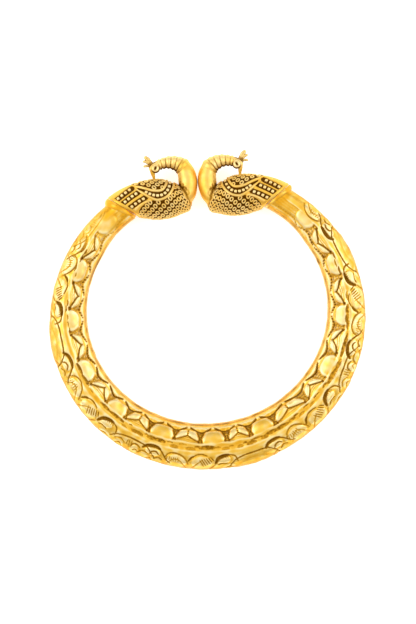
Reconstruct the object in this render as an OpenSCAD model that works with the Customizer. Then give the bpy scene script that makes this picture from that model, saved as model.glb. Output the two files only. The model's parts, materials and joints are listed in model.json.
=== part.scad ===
// Kada bangle with two peacocks, lying on its side.
// The wrist hole runs along Z, the birds sit at +Y and the lower face of the hoop rests on z = 0.
// The origin is the middle of the wrist hole, on the surface that the bangle rests on.
// Angles round the bangle start at +Y, between the birds, and grow towards the left bird.

/* [Wrist hole] */
// Half of the hole's long width
hole_long = 30.1; // [27:0.1:33]
// Half of the hole's short width
hole_short = 28.3; // [26:0.1:33]

/* [Hoop] */
// Half of the outer outline's long width
outer_long = 39.6; // [38:0.1:42]
// Half of the outer outline's short width
outer_short = 37.6; // [36:0.1:41]
// How far the outer outline is shifted away from the birds, which makes the back thick
outer_shift = 2.3; // [1:0.1:3.5]
// Turn of both outlines against the birds' middle line, in degrees
outline_turn = 6; // [0:0.5:8]
// How much the hole widens just before the birds
end_widening = 0.45; // [0:0.05:0.8]
// Height of the hoop along the wrist
hoop_height = 10; // [9:0.5:12]
// Height of the hoop where it meets the collars
hoop_end_height = 8; // [7.5:0.1:9]
// Thickness of the hoop's sheet
sheet = 0.8; // [0.6:0.1:1.2]

/* [Birds] */
// Clearance between neighbouring pieces
gap = 0.1; // [0.05:0.05:0.2]
// Turn of the right bird against a true mirror image of the left one, in degrees
right_turn = -2.7; // [-4:0.1:0]
// Shift of the right bird towards the left one
right_shift = 0.2; // [0:0.05:0.25]
// How much lower the right bird sits, towards the wrist hole
right_drop = 0.25; // [0:0.05:0.4]
// Height of the bars that ring the neck
neck_bar = 0.16; // [0:0.02:0.3]
// Number of bars on the neck
neck_bars = 5; // [3:1:6]

/* [Collars] */
// Radius of the hidden post that joins a bird to the hoop
post_r = 1.7; // [1.2:0.1:2]
// Depth of the post in the bird
post_in_bird = 2.6; // [1.5:0.1:4]
// Depth of the post in the hoop, from the bird's tail
post_in_hoop = 4.2; // [3.5:0.1:5]
// How far the collar swells beyond the straight line between its two ends
collar_swell = 0.3; // [0:0.05:0.5]

/* [Hidden] */

gold = [0.93, 0.72, 0.28];
deep_gold = [0.88, 0.62, 0.16];
bright_gold = [0.97, 0.8, 0.42];

LEFT = 1;
RIGHT = -1;
middle = hoop_height / 2;

// Angles where the hoop ends, at the hole and at the outer outline
left_end = [34.4, 40.7];
right_end = [34.3, 39.2];

// The hoop's height falls from its full value to the end value between these angles
taper_from = 66;
taper_to = 40;
// The hole widens between these angles
widen_from = 60;
widen_to = 45;
// The slanted cut at an end fades out over this many degrees
slant_fade = 24;

// 1 is an ellipse, and a smaller power makes the hoop's section squarer
squareness = 0.82;

hoop_rings = 76;
hoop_sides = 28;
body_rings = 22;
body_sides = 28;
neck_rings = 56;
neck_sides = 18;

// Columns of the bird's tables
X = 0;
Y = 1;
HALF_WIDTH = 2;
HALF_THICKNESS = 3;
LEAN = 4;

// The left bird's body from breast to tail: middle x and y, half width in the bangle's plane,
// half thickness along the wrist, and the lean of the section, counted anticlockwise from +Y
body_rows = [
    [-2.35, 26.9, 0.5, 0.6, -8],
    [-2.9, 27.1, 1.9, 2.0, -6],
    [-4.6, 27.9, 3.4, 3.3, -2],
    [-7.4, 28.3, 4.7, 4.1, 0],
    [-11.0, 28.5, 5.1, 4.4, 0],
    [-14.5, 28.55, 4.6, 4.4, 6],
    [-17.3, 28.05, 4.2, 4.25, 27],
    [-19.45, 27.25, 4.2, 4.05, 55]
];
tail = body_rows[len(body_rows) - 1];

// The left bird's neck from inside the breast, over the arch and down to the face, with the same
// columns. The section's top is the outside of the arch.
neck_rows = [
    [-4.35, 27.4, 2.15, 2.4, -112],
    [-3.2, 29.2, 2.38, 2.6, -101],
    [-2.65, 31.3, 2.35, 2.5, -93],
    [-2.6, 33.0, 2.35, 2.4, -86],
    [-2.95, 34.8, 2.2, 2.3, -68],
    [-3.9, 36.3, 1.9, 2.0, -43],
    [-5.3, 37.05, 1.6, 1.75, -18],
    [-7.0, 37.4, 1.3, 1.5, -4],
    [-8.7, 37.25, 1.2, 1.4, 8],
    [-9.8, 36.9, 1.2, 1.35, 20],
    [-10.7, 36.35, 1.3, 1.4, 35],
    [-11.45, 35.85, 0.85, 1.0, 50],
    [-11.8, 35.6, 0.2, 0.3, 55]
];
// Where along the neck, as a share of its rows, the bars lie, and where the plain ring is
bars_from = 0.44;
bars_to = 0.74;
ring_at = 0.415;
ring_height = 0.28;
ring_spread = 0.022;

eye = [-10.65, 36.35];
eye_r = 0.85;
eye_height = 1.5;
pupil_r = 0.4;
pupil_height = 1.65;

// The beak from the face down to the bird's back: x, y and radius
beak_rows = [[-11.25, 35.4, 0.55], [-11.2, 33.3, 0.36]];

// Each crest feather: its foot, its bend and its tip as x and y, then its half width
crest_rows = [
    [[-11.1, 37.3], [-12.0, 38.5], [-13.0, 39.3], 0.36],
    [[-11.4, 37.1], [-12.5, 38.1], [-13.3, 38.3], 0.3],
    [[-11.5, 36.9], [-12.5, 37.2], [-13.2, 36.9], 0.28]
];
// A crest feather's depth along the wrist, as a multiple of its width
crest_depth = 1.3;

// How far the cutter of the post's socket runs out past the tail
socket_mouth = 1;
// Where the collar's swelling rings lie between the tail and the hoop
swell_shares = [0.2, 0.4, 0.6, 0.8];

// Plain helpers
function lerp(from, to, share) = from + (to - from) * share;
function clamp01(value) = max(0, min(1, value));
function ease(share) = let (s = clamp01(share)) s * s * (3 - 2 * s);
function signed_power(value, power) = sign(value) * pow(abs(value), power);
function bump(value, middle_at, spread) = exp(-pow((value - middle_at) / spread, 2));

// Distance from the origin to an ellipse, along the ray at an angle.
// The ellipse is turned by outline_turn and its middle lies shift below the origin.
function ray_to_ellipse(angle, long, short, shift) =
    let (
        ray = angle + 90 - outline_turn,
        p = [-shift * sin(outline_turn) / long, -shift * cos(outline_turn) / short],
        q = [cos(ray) / long, sin(ray) / short],
        a = q * q,
        b = -2 * (p * q),
        c = p * p - 1
    ) (-b + sqrt(b * b - 4 * a * c)) / (2 * a);

// How far round from the birds an angle lies, the same for both sides
function away(angle) = angle > 180 ? 360 - angle : angle;
function hole_radius(angle) =
    ray_to_ellipse(angle, hole_long, hole_short, 0)
    + end_widening * ease((widen_from - away(angle)) / (widen_from - widen_to));
function outer_radius(angle) = ray_to_ellipse(angle, outer_long, outer_short, outer_shift);
function height_at(angle) =
    lerp(hoop_height, hoop_end_height, ease((taper_from - away(angle)) / (taper_from - taper_to)));

// The angle of a point of the hoop: along runs from 0 at the left end to 1 at the right end,
// across from 0 at the hole to 1 at the outer outline
function hoop_angle(along, across) =
    let (
        start = (left_end[0] + left_end[1]) / 2,
        stop = 360 - (right_end[0] + right_end[1]) / 2,
        plain = lerp(start, stop, along),
        left_slant = (left_end[1] - left_end[0]) * ease(1 - (plain - start) / slant_fade),
        right_slant = (right_end[1] - right_end[0]) * ease(1 - (stop - plain) / slant_fade)
    ) plain + (left_slant - right_slant) * (across - 0.5);

// A point of the hoop's skin. round goes round the section, and inset moves the skin inwards.
function hoop_point(along, round, inset) =
    let (
        side_to_side = -signed_power(cos(round), squareness),
        up_down = signed_power(sin(round), squareness),
        plain = hoop_angle(along, 0.5),
        margin = inset / (outer_radius(plain) - hole_radius(plain)),
        across = lerp(margin, 1 - margin, (side_to_side + 1) / 2),
        angle = hoop_angle(along, across),
        radius = lerp(hole_radius(angle), outer_radius(angle), across),
        half = height_at(angle) / 2 - inset
    ) [-radius * sin(angle), radius * cos(angle), middle + half * up_down];

function hoop_ring(along, inset) =
    [for (k = [0:hoop_sides - 1]) hoop_point(along, -360 * k / hoop_sides, inset)];

// Smooth curve through the rows of a table, share 0 at the first row and 1 at the last
function row_at(rows, share) =
    let (
        last = len(rows) - 1,
        i = min(last - 1, floor(share * last)),
        t = share * last - i,
        before = rows[max(0, i - 1)],
        from = rows[i],
        to = rows[i + 1],
        after = rows[min(last, i + 2)]
    ) 0.5 * (2 * from + (to - before) * t
             + (2 * before - 5 * from + 4 * to - after) * t * t
             + (3 * from - before - 3 * to + after) * t * t * t);

// One section of a bird: a ring of points round a row's middle, grown all round by extra
function bird_ring(row, sides, extra, first) =
    [for (k = [0:sides - 1])
        let (
            a = first + 360 * k / sides,
            w = (row[HALF_WIDTH] + extra) * cos(a),
            t = (row[HALF_THICKNESS] + extra) * sin(a)
        ) [row[X] - w * sin(row[LEAN]), row[Y] + w * cos(row[LEAN]), middle + t]];

function neck_swell(share) =
    let (place = (share - bars_from) / (bars_to - bars_from))
    ring_height * bump(share, ring_at, ring_spread)
    + (place > 0 && place < 1 ? neck_bar * pow(sin(180 * neck_bars * place), 2) : 0);

body_skin = [for (i = [0:body_rings])
    bird_ring(row_at(body_rows, i / body_rings), body_sides, 0, 0)];
neck_skin = [for (i = [0:neck_rings])
    bird_ring(row_at(neck_rows, i / neck_rings), neck_sides, neck_swell(i / neck_rings), 0)];

// A closed solid through a list of rings, with a flat fan at each end
module skin(rings) {
    sides = len(rings[0]);
    last = len(rings) - 1;
    points = concat([for (ring = rings) each ring], [centre(rings[0]), centre(rings[last])]);
    walls = [for (i = [0:last - 1], k = [0:sides - 1])
        let (a = i * sides + k, b = i * sides + (k + 1) % sides)
        each [[a, b, b + sides], [a, b + sides, a + sides]]];
    first_cap = [for (k = [0:sides - 1]) [(k + 1) % sides, k, len(points) - 2]];
    last_cap = [for (k = [0:sides - 1])
        [last * sides + k, last * sides + (k + 1) % sides, len(points) - 1]];
    polyhedron(points, concat(walls, first_cap, last_cap), convexity = 4);
}
function centre(ring) = [for (axis = [0:2]) mean([for (point = ring) point[axis]])];
function mean(values) = values * [for (value = values) 1] / len(values);

// The right bird is turned about the middle of its body
pivot = [body_rows[4][X], body_rows[4][Y], 0];

// Moves the left bird's own place to either side of the bangle
module to_side(side) {
    if (side == LEFT) children();
    else mirror([1, 0, 0]) translate([right_shift, -right_drop, 0] + pivot)
        rotate([0, 0, right_turn]) translate(-pivot) children();
}
// The same move undone, for a point of the hoop that the left bird's place has to meet
function from_side(side, point) =
    side == LEFT ? point :
    let (p = [-point[X] - right_shift, point[Y] + right_drop, point[2]] - pivot)
    pivot + [p[X] * cos(right_turn) + p[Y] * sin(right_turn),
             p[Y] * cos(right_turn) - p[X] * sin(right_turn),
             p[2]];

// The direction from the tail into the hoop
tail_way = [cos(tail[LEAN] + 180), sin(tail[LEAN] + 180), 0];

module post(radius, from, to) {
    translate([tail[X], tail[Y], middle] + from * tail_way)
        rotate([0, 90, tail[LEAN] + 180]) cylinder(h = to - from, r = radius, $fn = 40);
}

module hoop() {
    outside = [for (i = [0:hoop_rings]) each hoop_ring(i / hoop_rings, 0)];
    inside = [for (i = [0:hoop_rings]) each hoop_ring(i / hoop_rings, sheet)];
    inner = len(outside);
    far = hoop_rings * hoop_sides;
    walls = [for (i = [0:hoop_rings - 1], k = [0:hoop_sides - 1])
        let (
            a = i * hoop_sides + k,
            b = i * hoop_sides + (k + 1) % hoop_sides,
            c = b + hoop_sides,
            d = a + hoop_sides
        ) each [[a, b, c], [a, c, d],
                [b + inner, a + inner, d + inner], [b + inner, d + inner, c + inner]]];
    ends = [for (k = [0:hoop_sides - 1])
        let (a = k, b = (k + 1) % hoop_sides, c = a + far, d = b + far)
        each [[b, a, a + inner], [b, a + inner, b + inner],
              [c, d, d + inner], [c, d + inner, c + inner]]];
    color(gold) polyhedron(concat(outside, inside), concat(walls, ends), convexity = 4);
}

module collar(side) {
    along = side == LEFT ? 0 : 1;
    tail_face = [for (point = bird_ring(tail, hoop_sides, 0, 180)) point + gap * tail_way];
    hoop_face = [for (point = hoop_ring(along, 0)) from_side(side, point) - gap * tail_way];
    belt = [for (share = swell_shares)
        let (ring = lerp(tail_face, hoop_face, share), heart = centre(ring))
        [for (k = [0:hoop_sides - 1])
            let (
                out = ring[k] - heart,
                outer_side = (1 - cos(360 * k / hoop_sides)) / 2
            ) ring[k] + out / norm(out) * collar_swell * outer_side * sin(180 * share)]];
    color(deep_gold) to_side(side) union() {
        skin(concat([tail_face], belt, [hoop_face]));
        post(post_r, -post_in_bird, post_in_hoop);
    }
}

module crest() {
    for (row = crest_rows, pair = [[0, 1], [1, 2]])
        hull() for (end = pair)
            translate([row[end][X], row[end][Y], middle])
                scale([1, 1, crest_depth]) sphere(r = row[3], $fn = 12);
}

module head() {
    translate([eye[X], eye[Y], middle - eye_height]) cylinder(h = 2 * eye_height, r = eye_r, $fn = 24);
    translate([eye[X], eye[Y], middle - pupil_height])
        cylinder(h = 2 * pupil_height, r = pupil_r, $fn = 16);
    hull() for (row = beak_rows)
        translate([row[X], row[Y], middle]) sphere(r = row[2], $fn = 14);
    crest();
}

module peacock(side) {
    color(bright_gold) to_side(side) difference() {
        union() {
            skin(body_skin);
            skin(neck_skin);
            head();
        }
        post(post_r + gap, -post_in_bird - gap, socket_mouth);
    }
}

module collar_left() { collar(LEFT); }
module collar_right() { collar(RIGHT); }
module peacock_left() { peacock(LEFT); }
module peacock_right() { peacock(RIGHT); }

hoop();
collar_left();
collar_right();
peacock_left();
peacock_right();
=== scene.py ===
# %% [markdown]
# A kada is a stiff bangle that is pushed over the hand. This one is a hollow hoop of thin gilt sheet,
# chased all over its face, and it ends in two cast peacocks whose necks meet. The lesson keeps the real
# maker's order: first the bench, the light and the finishes, then the hoop and its chasing, then the
# plain collars, and last the birds with their scales, wing ribs and beads.

# %% [markdown]
# The imported part comes first, because each piece that is made here takes its place. The part itself
# is kept, hidden. All sizes below are in millimetres, and MM turns them into Blender's metres at the last
# moment, when a mesh is made.

# %% Load the frame
import json

import bpy
import numpy as np
from mathutils import Matrix, Vector

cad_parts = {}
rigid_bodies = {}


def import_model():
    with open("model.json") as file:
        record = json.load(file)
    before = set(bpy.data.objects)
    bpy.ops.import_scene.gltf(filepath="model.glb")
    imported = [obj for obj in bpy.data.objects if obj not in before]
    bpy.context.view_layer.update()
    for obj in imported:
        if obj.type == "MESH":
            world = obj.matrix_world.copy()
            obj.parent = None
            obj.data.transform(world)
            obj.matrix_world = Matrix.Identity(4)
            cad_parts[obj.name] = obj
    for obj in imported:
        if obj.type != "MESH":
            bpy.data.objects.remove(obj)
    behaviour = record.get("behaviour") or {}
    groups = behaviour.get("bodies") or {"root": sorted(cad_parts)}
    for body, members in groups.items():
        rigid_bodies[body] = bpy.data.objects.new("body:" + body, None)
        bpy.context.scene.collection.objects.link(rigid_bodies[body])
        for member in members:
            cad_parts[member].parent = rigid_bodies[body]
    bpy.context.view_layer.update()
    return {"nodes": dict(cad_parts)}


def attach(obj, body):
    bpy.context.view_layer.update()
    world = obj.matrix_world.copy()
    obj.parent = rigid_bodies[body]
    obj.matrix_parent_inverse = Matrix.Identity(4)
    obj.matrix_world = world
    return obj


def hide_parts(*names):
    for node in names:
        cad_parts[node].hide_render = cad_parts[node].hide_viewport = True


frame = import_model()
MM = 0.001
print("nodes in the frame:", sorted(frame["nodes"]))

# %% [markdown]
# A few small helpers are used all through: easing between two states, and a Catmull-Rom curve, which
# passes smoothly through the rows of a short table. A table of eight rows can so give a section
# anywhere along a bird, and a finer mesh never needs a longer table. Handwork is never quite even, and a
# sum of waves in random directions, with a fixed seed, gives that unevenness.

# %% Helpers for numbers
def ease(share):
    share = np.clip(share, 0, 1)
    return share * share * (3 - 2 * share)


def lerp(start, stop, share):
    return start + (stop - start) * share


def rows_at(rows, shares):
    """The smooth curve through a table's rows, at shares from 0 at the first row to 1 at the last."""
    table = np.asarray(rows, float)
    last = len(table) - 1
    place = np.asarray(shares, float) * last
    at = np.minimum(place.astype(int), last - 1)
    t = (place - at)[..., None]
    before, start = table[np.maximum(at - 1, 0)], table[at]
    stop, after = table[at + 1], table[np.minimum(at + 2, last)]
    return 0.5 * (2 * start + (stop - before) * t
                  + (2 * before - 5 * start + 4 * stop - after) * t ** 2
                  + (3 * start - before - 3 * stop + after) * t ** 3)


def unit(vectors):
    return vectors / np.maximum(np.linalg.norm(vectors, axis=-1, keepdims=True), 1e-12)


def waves(points, seed, shortest, longest, count=30):
    """A sum of waves through space in random directions, mostly from -1 to 1, with rare peaks past 3."""
    draw = np.random.default_rng(seed)
    total = np.zeros(points.shape[:-1])
    for way in unit(draw.normal(size=(count, 3))):
        length, shift = draw.uniform(shortest, longest), draw.uniform(0, 2 * np.pi)
        total += np.cos(2 * np.pi * (points @ way) / length + shift)
    return total / np.sqrt(count / 2)


# %% [markdown]
# Most pieces are skins: a grid of points with rings that close on themselves, or a strip that folds back
# to itself. One helper turns such a grid into a mesh. It joins the last column to the first, closes both
# ends with a fan, and points the faces outwards. A crease where the strip folds back is marked sharp,
# so that the light breaks there and doesn't bleed round the corner.

# %% Helpers for meshes
def grid_faces(rings, sides):
    """Four-sided faces of a grid whose last column is joined to its first."""
    ring, side = np.meshgrid(np.arange(rings - 1), np.arange(sides), indexing="ij")
    a = ring * sides + side
    b = ring * sides + (side + 1) % sides
    return np.stack([a, b, b + sides, a + sides], -1).reshape(-1, 4)


def skin_mesh(name, grid, values=None, crease=False):
    """A closed mesh from a grid of points, in millimetres. values holds one number per point by name."""
    rings, sides = grid.shape[:2]
    points = np.concatenate([grid.reshape(-1, 3), grid[[0, -1]].mean(1)])
    quads = grid_faces(rings, sides)
    side = np.arange(sides)
    far = (rings - 1) * sides
    first_fan = np.stack([(side + 1) % sides, side, np.full(sides, len(points) - 2)], -1)
    last_fan = np.stack([far + side, far + (side + 1) % sides, np.full(sides, len(points) - 1)], -1)
    loops = np.concatenate([quads.ravel(), first_fan.ravel(), last_fan.ravel()])
    sizes = np.concatenate([np.full(len(quads), 4), np.full(2 * sides, 3)])
    mesh = bpy.data.meshes.new(name)
    mesh.vertices.add(len(points))
    mesh.vertices.foreach_set("co", (points * MM).astype(np.float32).ravel())
    mesh.loops.add(len(loops))
    mesh.loops.foreach_set("vertex_index", loops.astype(np.int32))
    mesh.polygons.add(len(sizes))
    mesh.polygons.foreach_set("loop_start", np.concatenate([[0], np.cumsum(sizes)[:-1]]).astype(np.int32))
    mesh.update(calc_edges=True)
    mesh.polygons.foreach_set("use_smooth", np.ones(len(sizes), bool))
    for label, value in (values or {}).items():
        flat = np.concatenate([value.ravel(), value[[0, -1]].mean(1)])
        mesh.attributes.new(label, "FLOAT", "POINT").data.foreach_set("value", flat.astype(np.float32))
    mark_sharp(mesh, sides, far, crease)
    return mesh


def mark_sharp(mesh, sides, far, crease):
    """Marks the rims of both end fans sharp, and with crease also the first and the last column."""
    ends = np.empty(len(mesh.edges) * 2, np.int32)
    mesh.edges.foreach_get("vertices", ends)
    low, high = np.sort(ends.reshape(-1, 2), axis=1).T
    sharp = (high < sides) | ((low >= far) & (high < far + sides))
    if crease:
        column = np.stack([low % sides, high % sides])
        sharp |= (column[0] == column[1]) & ((column[0] == 0) | (column[0] == sides - 1))
    mesh.edges.foreach_set("use_edge_sharp", sharp)
    mesh.update()


def new_piece(name, mesh, node=None):
    """An object that rides on the bangle's one body, and hides the part of the frame that it replaces."""
    piece = bpy.data.objects.new(name, mesh)
    bpy.context.scene.collection.objects.link(piece)
    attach(piece, "root")
    if node:
        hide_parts(node)
    count = sum(len(polygon.vertices) - 2 for polygon in piece.data.polygons)
    print(f"{name}: {count} triangles")


# %% [markdown]
# The bangle lies on its side on a pale table, as it would by itself, and the camera looks straight down
# on it through a long lens, as in the photo. The photo's picture is 416 by 624 pixels at 0.25 mm a
# pixel, so the view is about 104 mm wide and 156 mm high, and the bangle is turned by four degrees in
# it. A long lens far away keeps the view nearly flat, without the tricks of a flat projection.

# %% Camera and table
VIEW_LONG = 155.5
VIEW_MIDDLE = (0.18, -0.50)
VIEW_TURN = 3.95
CAMERA_UP = 900
FACE_HEIGHT = 8
LENS_SENSOR = 36

lens = bpy.data.cameras.new("long_lens")
lens.sensor_width = LENS_SENSOR
lens.lens = LENS_SENSOR * (CAMERA_UP - FACE_HEIGHT) / VIEW_LONG
lens.clip_start, lens.clip_end = 0.05, 5
camera = bpy.data.objects.new("camera", lens)
camera.location = (VIEW_MIDDLE[0] * MM, VIEW_MIDDLE[1] * MM, CAMERA_UP * MM)
camera.rotation_euler = (0, 0, -np.radians(VIEW_TURN))
bpy.context.scene.collection.objects.link(camera)
bpy.context.scene.camera = camera

TABLE_HALF = 1.6
table_mesh = bpy.data.meshes.new("table")
corners = [(-1, -1), (1, -1), (1, 1), (-1, 1)]
table_mesh.from_pydata([(x * TABLE_HALF, y * TABLE_HALF, 0) for x, y in corners], [], [(0, 1, 2, 3)])
table = bpy.data.objects.new("table", table_mesh)
bpy.context.scene.collection.objects.link(table)
print("focal length:", round(lens.lens, 1), "mm")

# %% [markdown]
# Polished gold shows what stands round it more than its own colour, so the light is made as a room. It is
# bright overhead and dimmer towards the walls: what faces the camera goes pale, and what turns away goes
# to a deep orange gold, as in the photo. Two large soft lamps shine across from the sides, and each
# lays a long pale streak on both necks. The left lamp is the stronger one, by about a fifth. The table
# is a lit white one, as in a shop's light box, so hardly a shadow shows.

# %% Room and lamps
OVERHEAD = 1.0
WALLS = 0.6

scene = bpy.context.scene
scene.view_settings.view_transform = "Standard"
room = bpy.data.worlds.new("room")
room.use_nodes = True
scene.world = room
room_nodes, room_links = room.node_tree.nodes, room.node_tree.links
direction = room_nodes.new("ShaderNodeTexCoord")
height = room_nodes.new("ShaderNodeSeparateXYZ")
brightness = room_nodes.new("ShaderNodeMapRange")
brightness.interpolation_type = "SMOOTHSTEP"
for label, value in {"From Min": 0.05, "From Max": 1.0, "To Min": WALLS, "To Max": OVERHEAD}.items():
    brightness.inputs[label].default_value = value
room_links.new(direction.outputs["Generated"], height.inputs[0])
room_links.new(height.outputs["Z"], brightness.inputs["Value"])
room_links.new(brightness.outputs["Result"], room_nodes["Background"].inputs["Strength"])
room_nodes["Background"].inputs["Color"].default_value = (1, 1, 1, 1)


def soft_lamp(name, place, size, power):
    """A square soft lamp that points at the bangle. place and size are in metres."""
    data = bpy.data.lights.new(name, "AREA")
    data.size, data.energy = size, power
    lamp = bpy.data.objects.new(name, data)
    lamp.location = place
    lamp.rotation_euler = (-Vector(place)).to_track_quat("-Z", "Y").to_euler()
    bpy.context.scene.collection.objects.link(lamp)


soft_lamp("right_lamp", (0.62, 0.16, 0.52), 0.7, 1.9)
soft_lamp("left_lamp", (-0.60, 0.22, 0.52), 0.7, 2.3)
print("lamps:", [lamp.name for lamp in bpy.data.lights])

# %% [markdown]
# There is one kind of metal here, in three finishes. A bangle like this is gilded, dipped in a dark
# brown antiquing and then rubbed, so that the high spots come back bright and the recesses stay brown.
# The material reads that from two values which the meshes carry. The first is 1 where the brown stays,
# and it also carries painted shade: brown along the hoop's rims, inside the necks' arch, where the necks
# rise from the breast and touch each other, and at the beak's ends. The second runs from 1 where the
# gold is deep and orange to -1 where it is pale. Rubbing leaves raised work pale, but on the hoop the same
# value also holds painted highlight on raised spots and at the sides, and painted shade at the edges, in
# low spots, in the channel and at the back. Cloudy noise on top of it changes the tone and the gloss a
# little, and a fine grain from the rubbing stirs the surface.

# %% Gold finishes
def linear(red, green, blue):
    """A colour as it looks on a screen, from 0 to 255, as the light values that shaders use."""
    shares = np.array([red, green, blue]) / 255
    return (*np.where(shares <= 0.04045, shares / 12.92, ((shares + 0.055) / 1.055) ** 2.4), 1)


PALE_GOLD = linear(252, 230, 166)
BRIGHT_GOLD = linear(244, 196, 82)
DEEP_GOLD = linear(232, 168, 40)
PATINA = linear(112, 70, 0)
# how fine each noise is, from the clouds in the tone to the scratches
CLOUD_SCALE, GLOSS_SCALE, WEAR_SCALE, GRAIN_SCALE = 320, 900, 2600, 3400
# the recess value at which the brown starts, how much wear moves it, and how much rougher full brown is
FIRST_BROWN, WEAR, BROWN_ROUGHNESS = 0.12, 0.12, 0.35


class Shader:
    """A material's node tree, written one node at a time."""

    def __init__(self, name):
        self.material = bpy.data.materials.new(name)
        self.material.use_nodes = True
        self.nodes = self.material.node_tree.nodes
        self.links = self.material.node_tree.links
        self.surface = self.nodes["Principled BSDF"]

    def add(self, kind, inputs=None, **settings):
        node = self.nodes.new(kind)
        for label, value in settings.items():
            setattr(node, label, value)
        for label, value in (inputs or {}).items():
            self.join(value, node.inputs[label])
        return node

    def join(self, value, socket):
        if isinstance(value, bpy.types.NodeSocket):
            self.links.new(value, socket)
        else:
            socket.default_value = value

    def value_of(self, attribute):
        return self.add("ShaderNodeAttribute", attribute_name=attribute).outputs["Fac"]

    def noise(self, place, scale, detail):
        inputs = {"Vector": place, "Scale": scale, "Detail": detail}
        return self.add("ShaderNodeTexNoise", inputs).outputs["Fac"]

    def between(self, value, low, high, at_low, at_high):
        inputs = {"Value": value, "From Min": low, "From Max": high, "To Min": at_low, "To Max": at_high}
        return self.add("ShaderNodeMapRange", inputs).outputs["Result"]

    def blend(self, share, first, second):
        node = self.add("ShaderNodeMix", data_type="RGBA")
        self.join(share, node.inputs[0])
        self.join(first, node.inputs[6])
        self.join(second, node.inputs[7])
        return node.outputs[2]

    def sum(self, first, second):
        return self.add("ShaderNodeMath", {0: first, 1: second}, operation="ADD").outputs[0]


def gold_finish(name, gloss, clouds, grain, full_brown):
    """gloss is the roughness, clouds the tone's change, grain the scratches' height in millimetres.

    full_brown is the recess value at which nothing but brown is left."""
    shader = Shader(name)
    place = shader.add("ShaderNodeTexCoord").outputs["Object"]
    # the brown is patina and in places painted shade; the tone is the gold's own and in places painted light
    recess = shader.value_of("recess")
    drift = shader.between(shader.noise(place, CLOUD_SCALE, 4), 0.3, 0.7, -clouds, clouds)
    tone = shader.sum(shader.value_of("warm"), drift)
    pale_rubbed_and_highlit_gold = shader.blend(shader.between(tone, -1, 0, 1, 0), BRIGHT_GOLD, PALE_GOLD)
    gold = shader.blend(shader.between(tone, 0, 1, 0, 1), pale_rubbed_and_highlit_gold, DEEP_GOLD)
    worn = shader.between(shader.noise(place, WEAR_SCALE, 2), 0.3, 0.7, -WEAR, WEAR)
    brown = shader.between(shader.sum(recess, worn), FIRST_BROWN, full_brown, 0, 1)
    thin_brown = shader.blend(shader.between(brown, 0, 0.5, 0, 0.6), gold, DEEP_GOLD)
    shader.join(shader.blend(brown, thin_brown, PATINA), shader.surface.inputs["Base Color"])
    shader.surface.inputs["Metallic"].default_value = 1
    rubbed = shader.between(shader.noise(place, GLOSS_SCALE, 3), 0.3, 0.7, gloss - 0.05, gloss + 0.08)
    rough = shader.sum(shader.between(brown, 0, 1, 0, BROWN_ROUGHNESS), rubbed)
    shader.join(rough, shader.surface.inputs["Roughness"])
    bump = shader.add("ShaderNodeBump", {"Strength": 0.5, "Distance": grain * MM,
                                         "Height": shader.noise(place, GRAIN_SCALE, 3)})
    shader.join(bump.outputs["Normal"], shader.surface.inputs["Normal"])
    print(f"{name}: {len(shader.nodes)} nodes")
    return shader.material


chased_gold = gold_finish("chased_gold", 0.36, 0.3, 0.010, 1.12)
plain_gold = gold_finish("plain_gold", 0.42, 0.9, 0.010, 1.0)
antique_gold = gold_finish("antique_gold", 0.44, 0.3, 0.006, 0.85)

TABLE_GLOW = 0.52
table_shader = Shader("pale_table")
table_shader.surface.inputs["Roughness"].default_value = 0.85
table_shader.surface.inputs["Emission Strength"].default_value = TABLE_GLOW
mottle = table_shader.noise(table_shader.add("ShaderNodeTexCoord").outputs["Object"], 30, 4)
table_tone = table_shader.blend(mottle, linear(250, 250, 249), linear(253, 253, 253))
table_shader.join(table_tone, table_shader.surface.inputs["Base Color"])
table_shader.join(table_tone, table_shader.surface.inputs["Emission Color"])
table_mesh.materials.append(table_shader.material)

# %% [markdown]
# The hoop's plain form follows a rule, so it is worked out and not drawn. The hole is an ellipse, the
# outline is a larger ellipse whose middle lies lower, and so the band grows from 7 mm at the birds to
# 12 mm at the back. Its section is a rounded square. Angles run from the place where the necks meet,
# anticlockwise. The numbers are the part's own, so that the skin lies on its solid.

# %% The hoop's outline and section
HOLE_LONG, HOLE_SHORT = 30.1, 28.3
OUTER_LONG, OUTER_SHORT, OUTER_SHIFT = 39.6, 37.6, 2.3
OUTLINE_TURN = np.radians(6)
END_WIDENING, WIDEN_FROM, WIDEN_TO = 0.45, 60, 45
HOOP_HEIGHT, END_HEIGHT, TAPER_FROM, TAPER_TO = 10, 8, 66, 40
MIDDLE = HOOP_HEIGHT / 2
LEFT_END, RIGHT_END = (34.4, 40.7), (34.3, 39.2)
SLANT_FADE = 24
SQUARENESS = 0.82


def ray_to_ellipse(angle, long, short, shift):
    """Distance from the hole's middle to an ellipse, along the ray at an angle in degrees."""
    ray = np.radians(angle) + np.pi / 2 - OUTLINE_TURN
    p = np.array([-shift * np.sin(OUTLINE_TURN) / long, -shift * np.cos(OUTLINE_TURN) / short])
    q = [np.cos(ray) / long, np.sin(ray) / short]
    a = q[0] ** 2 + q[1] ** 2
    b = -2 * (p[0] * q[0] + p[1] * q[1])
    return (-b + np.sqrt(b * b - 4 * a * (p @ p - 1))) / (2 * a)


def away(angle):
    return np.minimum(angle, 360 - angle)


def hole_radius(angle):
    widening = END_WIDENING * ease((WIDEN_FROM - away(angle)) / (WIDEN_FROM - WIDEN_TO))
    return ray_to_ellipse(angle, HOLE_LONG, HOLE_SHORT, 0) + widening


def outer_radius(angle):
    return ray_to_ellipse(angle, OUTER_LONG, OUTER_SHORT, OUTER_SHIFT)


def band_width(angle):
    return outer_radius(angle) - hole_radius(angle)


def height_at(angle):
    return lerp(HOOP_HEIGHT, END_HEIGHT, ease((TAPER_FROM - away(angle)) / (TAPER_FROM - TAPER_TO)))


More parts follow.
